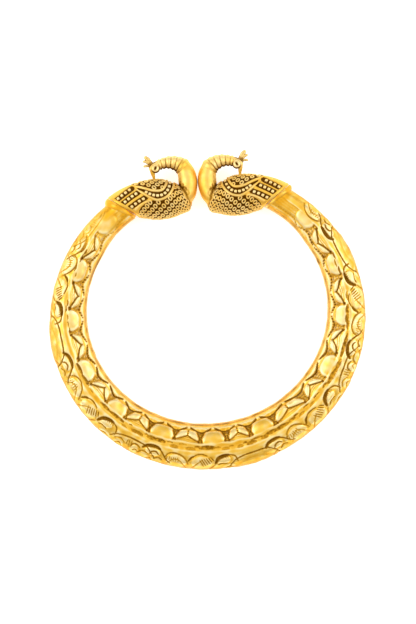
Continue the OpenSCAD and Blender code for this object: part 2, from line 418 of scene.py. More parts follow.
def hoop_angle(along, across):
    """The hoop's ends are cut at a slant, which fades out over SLANT_FADE degrees."""
    start, stop = sum(LEFT_END) / 2, 360 - sum(RIGHT_END) / 2
    plain = lerp(start, stop, along)
    left = (LEFT_END[1] - LEFT_END[0]) * ease(1 - (plain - start) / SLANT_FADE)
    right = (RIGHT_END[1] - RIGHT_END[0]) * ease(1 - (stop - plain) / SLANT_FADE)
    return plain + (left - right) * (across - 0.5)


def signed_power(value, power):
    return np.sign(value) * np.abs(value) ** power


def section(turn):
    """Share across the band and share of the half height, at a turn round the section in degrees."""
    across = (1 - signed_power(np.cos(np.radians(turn)), SQUARENESS)) / 2
    return across, signed_power(np.sin(np.radians(turn)), SQUARENESS)


def hoop_skin(along, turns):
    """Points of the plain skin, with each one's angle, its distance across the band and the band's width."""
    across, up = section(turns)
    across, up = np.broadcast_arrays(across[None, :], up[None, :])
    angle = hoop_angle(along[:, None], across)
    hole, width = hole_radius(angle), band_width(angle)
    radius = hole + width * across
    rise = height_at(angle) / 2 * up
    ray = np.radians(angle)
    points = np.stack([-radius * np.sin(ray), radius * np.cos(ray), MIDDLE + rise], -1)
    return points, angle, width * across, width


print("band width at the back:", round(float(band_width(180)), 2), "mm")

# %% [markdown]
# The hoop is made as two half shells, front and back, the way such hollow work is pressed and then
# soldered along its inner and outer edge. Each half is a grid of 910 by 100 points. The columns stand at
# even steps of length round the section, closer on the face than on the plain inner wall, because the
# chasing there needs them. A point's chart place says where it is on the flattened sheet: its angle, and
# how far out it lies from the hole. Past the rim the distance goes on growing, so the pattern wraps over.

# %% The flattened sheet
HOOP_RINGS, HOOP_SIDES = 910, 100
WALL_SHARE, WALL_WEIGHT = 0.05, 0.4
LEAST_CLIMB = 0.6
FINE_TURNS = 6001


def section_turns(count):
    turns = np.linspace(0, 180, FINE_TURNS)
    across, up = section(turns)
    steps = np.hypot(np.diff(across) * band_width(180), np.diff(up) * MIDDLE)
    steps = steps * np.where(across[1:] < WALL_SHARE, WALL_WEIGHT, 1)
    length = np.concatenate([[0], np.cumsum(steps)])
    return np.interp(np.linspace(0, length[-1], count), length, turns)


class Sheet:
    """The front half of the hoop as a flattened sheet, with how deep and how dark it is at each point."""

    def __init__(self):
        self.along = np.linspace(0, 1, HOOP_RINGS)
        self.points, self.angle, self.out, self.width = hoop_skin(self.along, section_turns(HOOP_SIDES))
        self.plain = hoop_angle(self.along, 0.5)
        self.seen = self.out
        climb = np.diff(self.out, axis=1)
        run = np.linalg.norm(np.diff(self.points, axis=1), axis=-1)
        outer_half = self.out[:, 1:] > self.width[:, 1:] / 2
        climb = np.where(outer_half, np.maximum(climb, LEAST_CLIMB * run), climb)
        self.out = self.out[:, :1] + np.concatenate([0 * climb[:, :1], np.cumsum(climb, axis=1)], axis=1)
        self.relief = np.zeros(self.out.shape)
        self.cut = np.zeros(self.out.shape)
        self.dark = np.zeros(self.out.shape)

    def rows(self, low, high):
        slant = 3.5
        return slice(*np.searchsorted(self.plain, [low - slant, high + slant]))

    def unrolled(self, angle, seen):
        """Distance out on the sheet, for a distance from the hole as it is seen from above."""
        ring = np.clip(np.searchsorted(self.plain, angle), 0, HOOP_RINGS - 1)
        pairs = zip(np.atleast_1d(ring), np.atleast_1d(seen))
        return np.array([np.interp(place, self.seen[i], self.out[i]) for i, place in pairs])


sheet = Sheet()
print("sheet of", sheet.out.shape, "points, out to", round(float(sheet.out.max()), 1), "mm at the seam")

# %% [markdown]
# A chaser works with two kinds of tool, and so does this script. Wide forms such as domes and petals
# are raised: here they are plain functions of the place on the sheet. Lines are struck with a narrow
# liner that is walked along a curve: chase() does that. For each point near the line it finds the nearest
# place on it, and the mark is deepest in its middle and thins out towards both ends, as a hand-held
# tool leaves it. The antiquing stays in the marks, so a mark writes its own darkness too.

# %% The liner
def chase(angles, outs, half_width, depth, dark, taper=0.4):
    """One chased line through points given by angle and distance from the hole's edge."""
    middle = (angles.min() + angles.max()) / 2
    radius = hole_radius(middle) + outs.mean()
    reach = np.degrees(2 * half_width / radius)
    rows = sheet.rows(angles.min() - reach, angles.max() + reach)
    x = np.radians(sheet.angle[rows] - middle) * radius
    y = sheet.out[rows]
    path = np.stack([np.radians(angles - middle) * radius, outs], -1)
    nearest = np.full(x.shape, 9.0)
    for i, (start, stop) in enumerate(zip(path[:-1], path[1:])):
        way = stop - start
        share = np.clip(((x - start[0]) * way[0] + (y - start[1]) * way[1]) / (way @ way), 0, 1)
        gap = np.hypot(x - start[0] - share * way[0], y - start[1] - share * way[1])
        place = (i + share) / (len(path) - 1)
        nearest = np.minimum(nearest, gap / (half_width * (1 - taper * (2 * place - 1) ** 2)))
    sheet.cut[rows] = np.maximum(sheet.cut[rows], depth * bell(nearest, 1))
    sheet.dark[rows] = np.maximum(sheet.dark[rows], dark * stain(nearest, 1))


def bell(distance, half_width):
    """A soft mark: 1 in its middle, 0 from 1.35 half widths on."""
    return np.clip(1 - (distance / (1.35 * half_width)) ** 2, 0, 1) ** 2


def stain(distance, half_width):
    """The brown that stays in such a mark. It fills the mark nearly to its edges."""
    return np.clip(1.5 * (1 - (distance / (1.3 * half_width)) ** 2), 0, 1)


# %% [markdown]
# Along the hole runs a row of small motifs, a smooth dome and a pair of leaves by turns, but in one place
# two pairs stand side by side. Their places were read off the photo, because a maker spaces them by eye
# and they are not quite even. Between two of them lies a narrow dark valley with tiny rungs, and a
# scalloped line swings over their tops.
# Each point of the sheet belongs to the nearest motif. u says how far it is from that motif's middle, as
# a share of its half width, and round_edge is 1 on the motif's outline.

# %% The inner row
DOME, PAIR = 0, 1
# kind, middle in degrees, half width in degrees
INNER_ROW = [
    (DOME, 45.5, 5.0), (PAIR, 58.0, 5.5), (DOME, 69.0, 5.2), (PAIR, 80.0, 5.3), (DOME, 90.5, 4.7),
    (PAIR, 101.5, 5.2), (DOME, 112.5, 5.0), (PAIR, 123.2, 4.8), (DOME, 133.5, 4.8), (PAIR, 144.3, 5.2),
    (DOME, 155.8, 5.4), (PAIR, 167.2, 5.2), (DOME, 178.8, 5.2), (PAIR, 190.2, 4.6), (DOME, 201.3, 5.3),
    (PAIR, 215.5, 7.6), (PAIR, 229.8, 4.9), (DOME, 241.5, 5.2), (PAIR, 252.7, 5.2), (DOME, 264.0, 4.6),
    (PAIR, 274.0, 5.3), (DOME, 285.8, 4.8), (PAIR, 297.0, 5.8), (DOME, 309.0, 4.5),
]
MOTIF_TOP = 1.5
MOTIF_SPREAD = 1.07
MOTIF_ROUNDNESS = 2.6
GROUND_DEPTH = 0.36
SIDE_RUNG_PITCH, BACK_RUNG_PITCH, BEAD_PITCH = 0.72, 0.64, 0.74
BACK_FROM, BACK_TO = 122, 148
FEET_SEED, FEET_WANDER = 31, 0.12
FOOT_OUT, FOOT_PER_WIDTH = 3.3, 0.14


def motif_foot(width):
    """How far out the motifs end. They are longer where the band is wider."""
    return FOOT_OUT + FOOT_PER_WIDTH * width


kinds, middles, half_widths = np.array(INNER_ROW).T
half_widths = half_widths * MOTIF_SPREAD
nearest = (np.abs(sheet.angle[..., None] - middles) / half_widths).argmin(-1)
half_mm = np.radians(half_widths[nearest]) * (hole_radius(sheet.angle) + 3)
u = (sheet.angle - middles[nearest]) / half_widths[nearest]
side = np.abs(u)
is_pair = kinds[nearest] == PAIR
motif_base = motif_foot(sheet.width) + FEET_WANDER * waves(sheet.points, FEET_SEED, 3, 7)
v = np.clip((motif_base - sheet.out) / (motif_base - MOTIF_TOP), 0, None)
waist = side * (1 + 0.12 * ease((sheet.out - 3.4) / 1.4))
round_edge = (waist ** MOTIF_ROUNDNESS + v ** MOTIF_ROUNDNESS) ** (1 / MOTIF_ROUNDNESS)
inside = (1 - round_edge) * half_mm
in_row = ease((motif_base + 0.1 - sheet.out) / 0.45)
at_back = ease((away(sheet.angle) - BACK_FROM) / (BACK_TO - BACK_FROM))
rungs = 0.5 + 0.5 * np.cos(2 * np.pi * sheet.out / lerp(SIDE_RUNG_PITCH, BACK_RUNG_PITCH, at_back))
print("motifs along the hole:", len(INNER_ROW))


def darken(shade):
    sheet.dark[:] = np.maximum(sheet.dark, shade)


def raise_motifs():
    """Domes and leaf pairs stand at the skin's own height, and the ground round them is sunk."""
    below_line = ease((sheet.out - 1.0) / 0.5)
    flank = 1 - ease(inside / 0.4)
    sunk_sides = ease((side - 0.55) / 0.3)
    crown = np.where(is_pair, 0.12, 0.26) * np.clip(round_edge, 0, 1) ** 2
    sheet.relief -= (GROUND_DEPTH * flank * lerp(0.35, 1, sunk_sides) + crown) * below_line * in_row


def scalloped_line():
    """A line over the motifs' tops, broken above the middle of each and beaded towards the birds."""
    swing = np.minimum(side, 1)
    line = lerp(0.95, 1.1, at_back) + lerp(0.55, 0.78, at_back) * ease(swing)
    half_width = 1.1 * (0.13 + 0.07 * swing)
    beaded = 0.75 * ease((125 - away(sheet.angle)) / 40)
    beads = np.cos(np.pi * u * half_mm / BEAD_PITCH) ** 4
    strength = ease((side * half_mm - 0.3) / 0.18) * (1 - beaded * beads)
    sheet.cut[:] = np.maximum(sheet.cut, 0.24 * bell(sheet.out - line, half_width) * strength)
    darken(stain(sheet.out - line, half_width) * strength)
    return line


def valleys(line):
    """Brown ground with rungs between the motifs, darkest along their outlines and at the feet."""
    here = ease((sheet.out - line) / 0.1) * in_row * ease((side - 0.62) / 0.2)
    outline = lerp(0.6, 1, at_back) * stain(inside + 0.08, 0.15)
    ground = ease((-inside + 0.06) / 0.14)
    top = ease((2.7 - sheet.out) / 0.8)
    brown = lerp(0.2, 0.5, at_back) + lerp(0.1, 0.3, at_back) * top
    feet = stain(np.hypot(inside + 0.02, (sheet.out - motif_base + 0.55) / 1.6), 0.2)
    between = ground * lerp(brown, lerp(0.7, 0.95, at_back), rungs ** 2)
    darken(here * np.maximum(np.maximum(outline, between), feet))
    sheet.relief += 0.14 * ground * rungs * here


def leaf_pairs():
    """Two almond leaves that meet at the top, with a ladder of notches between them and arches below."""
    apex = lerp(2.2, 2.95, at_back)
    inner_edge = apex + (motif_base - 0.3 - apex) * side ** 0.8
    reach = (inner_edge - sheet.out) * 0.75
    leaf = ease(inside / 0.8) * ease(reach / 0.6) * ease((side * half_mm - 0.1) / 0.5)
    low = ease(0.5 - reach / 0.3)
    on = is_pair * ease((0.98 - side) / 0.06) * ease((sheet.out - 1.6) / 0.2)
    notch = ease((inner_edge + 0.1 - sheet.out) / 0.3) * on
    ladder = stain(u * half_mm, 0.17) * notch
    sheet.relief += is_pair * in_row * (0.14 * leaf - 0.14 * low)
    sheet.cut[:] = np.maximum(sheet.cut, 0.18 * bell(reach, 0.18) * on)
    sheet.cut[:] = np.maximum(sheet.cut, 0.26 * bell(u * half_mm, 0.2) * notch * rungs)
    darken(lerp(0.95, 0.95 - 0.3 * side, at_back) * stain(reach, 0.15 + 0.08 * side * (1 - at_back)) * on)
    darken(ladder * (0.3 + 0.7 * rungs))
    for drop, dark in ((0, 0.4), (0.45, 0.3)):
        arch_line = motif_base - 1.25 + drop + 0.7 * side ** 2
        arch = is_pair * in_row * ease((0.8 - side) / 0.1) * low
        sheet.cut[:] = np.maximum(sheet.cut, 0.12 * bell(sheet.out - arch_line, 0.16) * arch)
        darken(dark * stain(sheet.out - arch_line, 0.11) * arch)


raise_motifs()
valleys(scalloped_line())
leaf_pairs()

# %% [markdown]
# Below that row a shallow channel runs all round. It was matted with a small punch, blow after blow, and
# the brown stays in it as uneven dabs, thick in some stretches and almost none in others. They follow no
# rule, so their places were read off the photo one by one, and each is a short, wide stroke of the
# liner. A fine hatch runs through all of them, because the punch has a ribbed face, and seeded waves
# break the brown up into specks.

# %% The matted channel
MATTING_DEPTH, DAB_DEPTH, DAB_ARCH = 0.17, 0.2, 0.1
NARROW_BAND, WIDENS_OVER = 9.4, 1.2
CHANNEL_END, CHANNEL_END_PER_WIDTH, NARROWEST_CHANNEL = -0.6, 0.65, 1.0
HATCH_PITCH, HATCH_RADIUS, HATCH_LEAN = 0.45, 34, 0.5
SPECKLE_SEED = 23
# first degree, last degree, distance out, half width, dark
DABS = [
    (59.5, 61.5, 4.1, 0.3, 0.9), (62.0, 65.5, 4.25, 0.14, 0.9), (66.8, 69.6, 4.65, 0.14, 0.9),
    (70.3, 72.0, 4.1, 0.13, 0.8), (82.0, 84.4, 4.8, 0.2, 0.9), (84.4, 86.8, 5.1, 0.2, 0.9),
    (88.0, 90.2, 4.7, 0.15, 0.9), (90.8, 92.8, 4.75, 0.14, 0.8), (93.4, 95.4, 4.5, 0.14, 0.9),
    (108.4, 113.2, 5.0, 0.4, 0.95), (113.6, 118.6, 5.1, 0.4, 0.9), (120.0, 122.6, 5.5, 0.15, 0.5),
    (127.2, 131.8, 5.5, 0.42, 0.95), (132.4, 139.2, 5.5, 0.42, 0.9), (139.0, 141.5, 6.3, 0.22, 0.7),
    (141.8, 143.2, 5.2, 0.16, 0.8), (143.9, 148.7, 6.1, 0.45, 0.8), (149.3, 150.7, 5.6, 0.2, 0.8),
    (150.8, 154.3, 5.9, 0.5, 1.0), (154.0, 158.2, 5.8, 0.5, 1.0), (159.2, 161.5, 5.5, 0.16, 0.8),
    (160.8, 164.0, 6.4, 0.45, 0.55), (164.3, 167.4, 5.5, 0.15, 0.75), (167.3, 171.2, 6.4, 0.42, 0.55),
    (170.8, 173.2, 5.8, 0.25, 1.0), (173.0, 179.2, 6.0, 0.55, 0.95), (179.5, 181.7, 6.05, 0.2, 0.8),
    (182.2, 185.1, 6.5, 0.42, 0.5), (185.3, 187.2, 6.05, 0.16, 0.75), (188.7, 191.0, 6.6, 0.42, 0.6),
    (191.3, 192.9, 6.0, 0.2, 1.0), (192.9, 196.6, 6.5, 0.5, 1.0), (194.7, 199.8, 5.8, 0.22, 0.85),
    (199.2, 202.0, 6.3, 0.5, 0.75), (201.5, 206.5, 5.9, 0.5, 0.95), (206.0, 211.6, 5.95, 0.5, 1.0),
    (212.5, 215.2, 5.9, 0.4, 0.8), (215.0, 217.3, 5.5, 0.25, 0.8), (217.2, 219.9, 6.2, 0.35, 0.6),
    (220.5, 223.2, 5.4, 0.2, 0.9), (223.1, 225.4, 6.1, 0.35, 0.6), (226.4, 229.6, 5.45, 0.2, 0.9),
    (232.3, 234.6, 5.5, 0.35, 0.85), (235.1, 241.8, 5.9, 0.6, 1.0), (241.7, 245.6, 5.9, 0.5, 0.95),
    (247.1, 256.2, 5.6, 0.5, 1.0), (258.3, 261.3, 5.4, 0.45, 0.95), (261.0, 264.6, 4.95, 0.5, 0.95),
    (264.2, 268.2, 4.9, 0.45, 0.95), (270.2, 273.6, 5.0, 0.35, 0.7), (281.5, 284.3, 4.3, 0.25, 0.8),
    (284.6, 287.6, 4.0, 0.2, 0.7), (287.9, 290.6, 4.4, 0.22, 0.75),
]


def channel_share():
    """How far across the channel each point lies, from 0 at its inner edge to 1 at its outer edge."""
    top = motif_base + 0.1
    bottom = np.maximum(CHANNEL_END + CHANNEL_END_PER_WIDTH * sheet.width, top + NARROWEST_CHANNEL)
    return np.clip((sheet.out - top) / (bottom - top), 0, 1)


def channel_hollow():
    """1 along the channel's middle, and less where the band is narrow, because it fades out there."""
    strength = lerp(0.3, 1, ease((sheet.width - NARROW_BAND) / WIDENS_OVER))
    return np.sin(np.pi * channel_share()) ** 0.8 * strength


def matted_channel():
    share = channel_share()
    sheet.relief -= MATTING_DEPTH * channel_hollow()
    along = np.linspace(0, 1, 6)
    for first, last, out, half_width, dark in DABS:
        chase(lerp(first, last, along), out - DAB_ARCH * np.sin(np.pi * along), half_width, DAB_DEPTH, dark,
              taper=0.45)
    length = np.radians(sheet.angle) * HATCH_RADIUS + HATCH_LEAN * sheet.out
    hatch = 0.5 + 0.5 * np.cos(2 * np.pi * length / HATCH_PITCH)
    speckle = np.clip(0.9 + 0.25 * waves(sheet.points, SPECKLE_SEED, 0.6, 1.5), 0.4, 1.15)
    inside_channel = (share > 0) & (share < 1)
    sheet.dark *= np.where(inside_channel, lerp(1.1, 0.7, share) * lerp(0.7, 1, hatch) * speckle, 1)


matted_channel()
print("dabs in the channel:", len(DABS))

# %% [markdown]
# The outer row turns over the rim. Every 48 degrees there is a large cartouche, a plain lens or a flower
# by turns, and between two of them a scroll, a leaf with a fan of cuts, a veined leaf and a scroll. Each
# motif is a few strokes through a few points, over low mounds that the maker raised first. The places
# are in millimetres from the motif's middle: a along the hoop, and b outwards from the row's top, on a
# row that is 3.5 mm high. Wider or narrower stretches of the band stretch b with them.

# %% The motifs of the outer row
# strokes: half width, dark, points (a, b)
LENS = [(0.17, 0.95, [(-7.0, 2.9), (-5.3, 1.6), (-3.3, 1.0), (0, 0.85), (3.2, 1.0), (4.7, 2.0), (5.8, 3.4)])]
FLOWER = [
    (0.17, 0.95, [(-5.8, 2.6), (-4.3, 1.4), (-2.3, 0.7), (-0.2, 0.35), (2.3, 0.4), (4.3, 0.9), (6.4, 2.6)]),
    (0.15, 0.7, [(-4.4, 2.3), (-3.1, 1.75), (-1.8, 2.2)]),
    (0.13, 0.5, [(-3.9, 3.1), (-3.0, 2.6), (-2.2, 3.0)]),
    (0.13, 0.75, [(-1.4, 1.1), (-1.2, 2.3)]), (0.13, 0.6, [(-0.9, 1.0), (-0.5, 2.5)]),
    (0.13, 0.7, [(-0.3, 0.9), (-0.1, 1.9)]), (0.17, 0.9, [(-0.1, 2.3), (0.3, 1.4), (1.2, 1.15), (2.2, 1.6)]),
    (0.15, 0.75, [(2.0, 2.8), (2.9, 1.95), (4.4, 1.95)]), (0.13, 0.5, [(0.7, 2.6), (1.3, 2.2), (1.9, 2.5)]),
]
RISING_SCROLL = [
    (0.4, 1.0, [(-3.4, 1.1), (-2.6, 0.3), (-1.5, -0.05), (-0.2, -0.15), (0.9, 0.1)]),
    (0.18, 0.9, [(-0.4, -0.3), (1.0, 0.25), (2.0, 1.0), (2.9, 1.9), (4.1, 2.5)]),
    (0.18, 0.9, [(-1.4, 1.9), (-0.9, 1.15), (0.1, 0.9), (0.9, 1.4)]),
    (0.15, 0.75, [(0.0, 2.6), (1.0, 2.15), (2.0, 2.4)]), (0.13, 0.5, [(-2.3, 3.4), (-1.2, 2.8), (-0.4, 3.1)]),
]
FAN_LEAF = [
    (0.18, 0.75, [(-3.0, 1.5), (-2.3, 0.3), (-0.9, -0.3), (0.6, -0.1), (2.0, 0.7), (3.1, 2.2)]),
    (0.14, 0.5, [(-2.2, 2.8), (-1.0, 1.4), (0.4, 1.2), (1.6, 2.0), (2.6, 3.3)]),
    *[(0.11, 0.6, [(-2.3 + 0.5 * i, 0.95 - 0.05 * i), (-2.5 + 0.62 * i, 1.75)]) for i in range(6)],
]
VEINED_LEAF = [
    (0.26, 1.0, [(-3.4, 1.4), (-2.8, 0.55), (-2.1, 0.1)]),
    (0.17, 0.85, [(-2.3, 0.15), (-1.2, -0.35), (0, -0.4), (1.3, 0)]),
    (0.15, 0.5, [(-2.5, 3.2), (-1.3, 1.9), (0.1, 1.0)]), (0.17, 0.7, [(-0.8, 3.8), (1.6, 3.5), (3.2, 2.3)]),
    *[(0.14, 0.95 - 0.06 * i, [(2.2 - 0.56 * i, 0.4 + 0.1 * i), (3.0 - 0.52 * i, 1.3 + 0.22 * i)])
      for i in range(6)],
]
CLOSING_SCROLL = [
    (0.42, 1.0, [(-2.6, 1.9), (-2.2, 1.05), (-1.5, 0.5), (-0.3, 0.2), (0.8, 0.15)]),
    (0.18, 0.85, [(0.6, 0.05), (2.0, 0.4), (2.6, 0.95), (2.9, 2.0)]),
    (0.17, 0.85, [(-2.0, 2.3), (-1.0, 1.95), (0.3, 2.15)]),
    (0.14, 0.6, [(-0.9, 3.3), (0.6, 2.9), (1.8, 3.2)]),
    *[(0.11, 0.7, [(-1.2 + 0.55 * i, 0.35), (-1.05 + 0.55 * i, 0.8)]) for i in range(5)],
]
# mounds: a, b, half length, half width, height
LENS_MOUNDS = [(-0.6, 3.6, 6.0, 2.6, 0.28)]
FLOWER_MOUNDS = [(-3.1, 3.0, 1.5, 1.1, 0.25), (1.0, 2.6, 1.2, 1.3, 0.28), (3.6, 2.9, 1.6, 1.0, 0.2)]
LEAF_MOUNDS = [(0, 1.7, 2.7, 1.7, 0.32)]
SCROLL_MOUNDS = [(-0.7, 1.2, 2.0, 0.9, 0.3), (0.6, 3.0, 1.8, 0.8, 0.18)]
# degrees from a cartouche to each motif that follows it
FOLLOWING = [
    (9.4, RISING_SCROLL, SCROLL_MOUNDS), (17.7, FAN_LEAF, LEAF_MOUNDS),
    (27.4, VEINED_LEAF, LEAF_MOUNDS), (36.6, CLOSING_SCROLL, SCROLL_MOUNDS),
]
print("strokes in a veined leaf:", len(VEINED_LEAF))

# %% Strike the outer row
ROW_HEIGHT = 3.5
CARTOUCHE_STEP, FIRST_LENS = 48.2, 98.5
STROKE_POINTS = np.linspace(0, 1, 13)
OUTER_GROUND, OUTER_BROWN = 0.08, 0.95
STROKE_WIDER = 1.08
# degree, and how much further out than the rule the row starts there, because it was placed by eye
ROW_WANDER = [
    (50, 0.3), (68, -0.25), (78, 0.2), (88, 0), (98, -0.45), (116, -0.45), (126, -0.1), (135, -0.6),
    (147, -0.1), (156, -0.1), (164, 0.4), (174, 0.1), (204, 0.1), (213, -0.35), (222, 0), (232, -0.65),
    (243, 0), (252, -0.3), (261, 0.1), (270, -0.5), (280, -0.7), (291, -0.6), (301, 0.4), (310, 0.2),
]
ROW_TOP, ROW_TOP_PER_WIDTH = -1.7, 0.83
PATTERN_FROM, PATTERN_TO = 44, 318


def outer_row_top(angle):
    return ROW_TOP + ROW_TOP_PER_WIDTH * band_width(angle) + np.interp(angle, *np.array(ROW_WANDER).T)


def row_place(middle, a, b):
    """Angle and distance from the hole's edge, for a place in a motif."""
    angle = middle + np.degrees(a / (hole_radius(middle) + outer_row_top(middle) + 1.5))
    top = outer_row_top(angle)
    return angle, sheet.unrolled(angle, top + b * (band_width(angle) - top) / ROW_HEIGHT)


def raise_mound(middle, a, b, half_long, half_wide, height):
    angle, out = row_place(middle, a, b)
    reach = float(np.degrees(half_long / (hole_radius(middle) + out[0])))
    rows = sheet.rows(angle - reach, angle + reach)
    gap = np.hypot((sheet.angle[rows] - angle) / reach, (sheet.out[rows] - out) / half_wide)
    sheet.relief[rows] += height * np.sqrt(np.clip(1 - gap ** 2, 0, 1))


def strike(strokes, mounds, middle):
    """One motif of the outer row, with its middle at an angle."""
    for mound in mounds:
        raise_mound(middle, *mound)
    for half_width, dark, points in strokes:
        a, b = rows_at(points, STROKE_POINTS).T
        angle, out = row_place(middle, a, b)
        chase(angle, out, STROKE_WIDER * half_width, 0.8 * half_width + 0.06, OUTER_BROWN * dark)


def outer_row():
    sheet.relief -= OUTER_GROUND * ease((sheet.out - outer_row_top(sheet.angle) + 0.2) / 0.8)
    struck = 0
    for step in range(-1, 5):
        cartouche = FIRST_LENS + step * CARTOUCHE_STEP
        first = (0, FLOWER, FLOWER_MOUNDS) if step % 2 else (0, LENS, LENS_MOUNDS)
        for offset, strokes, mounds in [first] + FOLLOWING:
            if PATTERN_FROM < cartouche + offset < PATTERN_TO:
                strike(strokes, mounds, cartouche + offset)
                struck += 1
    return struck


print("motifs in the outer row:", outer_row())

# %% [markdown]
# Thin sheet that has been worked from both sides is never quite even. Weak waves of a few millimetres
# give it that look: the reflections wander a little, as on hammered metal. Four plain lines, cut near
# the edge of the hole, complete the sheet.

# %% Hammered unevenness and edge lines
HAMMER_SEED, HAMMER_DEPTH = 11, 0.03
HAMMER_SHORTEST, HAMMER_LONGEST = 1.8, 5.0
# first degree, last degree, distance from the hole, dark
EDGE_LINES = [(57, 75, 0.16, 0.9), (184, 216, 0.36, 0.5), (296.5, 302, 1.25, 0.9), (308, 313, 0.75, 0.8)]

uneven = waves(sheet.points, HAMMER_SEED, HAMMER_SHORTEST, HAMMER_LONGEST)
sheet.relief += HAMMER_DEPTH * (uneven - 0.5)
for first, last, out, dark in EDGE_LINES:
    chase(np.linspace(first, last, 30), np.full(30, out), 0.1, 0.06, dark, taper=0.7)
print("unevenness from", round(float(uneven.min()), 2), "to", round(float(uneven.max()), 2))

# %% [markdown]
# Near the birds the pattern was hardly struck, so its depth and its brown are weaker there, and the
# gold goes deeper. The depths are then handed to Geometry Nodes: the plain half shell carries its
# outward direction and its chasing depth as named values, and a small tree pushes each point by
# them, as far as its input Depth says. The pushed shell is then kept as a plain mesh.

# %% Geometry Nodes helper
class Tree:
    """A Geometry Nodes tree, written one node at a time, with its inputs by name."""

    def __init__(self, name, inputs):
        self.tree = bpy.data.node_groups.new(name, "GeometryNodeTree")
        sockets = self.tree.interface
        sockets.new_socket("Geometry", in_out="INPUT", socket_type="NodeSocketGeometry")
        self.ids = {}
        for label, kind in inputs.items():
            socket = sockets.new_socket(label, in_out="INPUT", socket_type="NodeSocket" + kind)
            self.ids[label] = socket.identifier
        sockets.new_socket("Geometry", in_out="OUTPUT", socket_type="NodeSocketGeometry")
        self.start = self.tree.nodes.new("NodeGroupInput").outputs

    def add(self, kind, inputs=None, out=0, **settings):
        node = self.tree.nodes.new(kind)
        for label, value in settings.items():
            setattr(node, label, value)
        for label, value in (inputs or {}).items():
            if isinstance(value, bpy.types.NodeSocket):
                self.tree.links.new(value, node.inputs[label])
            else:
                node.inputs[label].default_value = value
        return node.outputs[out]

    def finish(self, geometry, warm=None):
        """Every tree ends the same way: real meshes, smooth, with their metal. warm sets one tone for all."""
        if warm is not None:
            toned = {0: geometry, "Name": "warm", "Value": warm}
            geometry = self.add("GeometryNodeStoreNamedAttribute", toned)
        real = self.add("GeometryNodeRealizeInstances", {0: geometry})
        smooth = self.add("GeometryNodeSetShadeSmooth", {0: real})
        metal = self.add("GeometryNodeSetMaterial", {0: smooth, 2: self.start["Metal"]})
        self.tree.links.new(metal, self.tree.nodes.new("NodeGroupOutput").inputs[0])

    def grow(self, mesh, values):
        """The plain mesh that the tree makes from a mesh and the values of its inputs."""
        holder = bpy.data.objects.new(mesh.name + "_seed", mesh)
        bpy.context.scene.collection.objects.link(holder)
        modifier = holder.modifiers.new("grow", "NODES")
        modifier.node_group = self.tree
        for label, value in values.items():
            modifier[self.ids[label]] = value
        bpy.context.view_layer.update()
        evaluated = holder.evaluated_get(bpy.context.evaluated_depsgraph_get())
        grown = bpy.data.meshes.new_from_object(evaluated)
        holder.modifiers.clear()
        bpy.data.objects.remove(holder)
        return grown


# %% Chase the two half shells
# weakest until this degree, in full strength from that one
INNER_FADES = [(43, 60), (318, 300)]
OUTER_FADES = [(50, 68), (322, 308)]
FADED = 0.3
WARM_FROM, WARM_TO = 38, 50
# painted shade: how much deeper the gold is near both edges, and how far in that reaches
EDGE_SHADE_WARMTH, EDGE_SHADE_REACH = 0.9, 1.4
# painted light by place: the inner row paler at the sides as painted highlight; deeper gold at the back, in
# both rows, and in the channel as painted shade
SIDE_HIGHLIGHT_TONE, BACK_SHADE_TONE, CHANNEL_SHADE_TONE = -0.35, 0.15, 0.3
OUTER_TONE, OUTER_BACK_SHADE_TONE = 0.0, 0.3
# painted shade on the rims: at the hole's edge towards the birds, there at the back, at the outer edge, its
# reach
INNER_RIM_SHADE, INNER_BACK_RIM_SHADE, OUTER_RIM_SHADE, RIM_SHADE_REACH = 0.75, 1.0, 0.45, 1.0
# heights above the seam: the plain wall has no painted rim shade below the first, and all of it above the
# second
WALL_BARE_TO, RIM_FULL_AT = 1.0, 2.6
# raised spots painted paler and low ones deeper, as rubbing and as painted highlight and painted shade: the
# reach in points, and the height in millimetres for the full change
RUBBED_SHEEN_REACH, RUBBED_SHEEN_HEIGHT = 4, 0.07


def outward(points):
    """The skin's outward direction at each point of a grid."""
    along = np.gradient(points, axis=0)
    across = np.gradient(points, axis=1)
    return unit(np.cross(across, along))


def softened(values, reach):
    """The mean over a square of points round each point, worked out one direction at a time."""
    for axis in (0, 1):
        padded = np.concatenate([np.repeat(values.take([0], axis), reach + 1, axis), values,
                                 np.repeat(values.take([-1], axis), reach, axis)], axis)
        total = np.cumsum(padded, axis=axis)
        count = values.shape[axis]
        far = np.arange(count) + 2 * reach + 1
        values = (total.take(far, axis) - total.take(far - 2 * reach - 1, axis)) / (2 * reach + 1)
    return values


chasing = Tree("chasing", {"Depth": "Float", "Metal": "Material"})
depth_here = chasing.add("GeometryNodeInputNamedAttribute", {"Name": "chasing"}, data_type="FLOAT")
way_out = chasing.add("GeometryNodeInputNamedAttribute", {"Name": "outward"}, data_type="FLOAT_VECTOR")
push = chasing.add("ShaderNodeMath", {0: depth_here, 1: chasing.start["Depth"]}, operation="MULTIPLY")
offset = chasing.add("ShaderNodeVectorMath", {0: way_out, "Scale": push}, operation="SCALE")
chasing.finish(chasing.add("GeometryNodeSetPosition", {0: chasing.start["Geometry"], "Offset": offset}))


def faded(fades):
    """1 where the chasing has its full strength, and less towards both birds."""
    left, right = (ease((sheet.angle - weak) / (full - weak)) for weak, full in fades)
    return lerp(FADED, 1, left * right)


def painted_light_by_place():
    """Tone by place, which is painted light: the inner row paler at the sides as painted highlight, and
    deeper at the back than towards the birds and deeper in the channel as painted shade.
    """
    inner = lerp(SIDE_HIGHLIGHT_TONE, BACK_SHADE_TONE, at_back)
    outer = lerp(OUTER_TONE, OUTER_BACK_SHADE_TONE, at_back)
    return lerp(outer, inner, in_row) + CHANNEL_SHADE_TONE * channel_hollow()


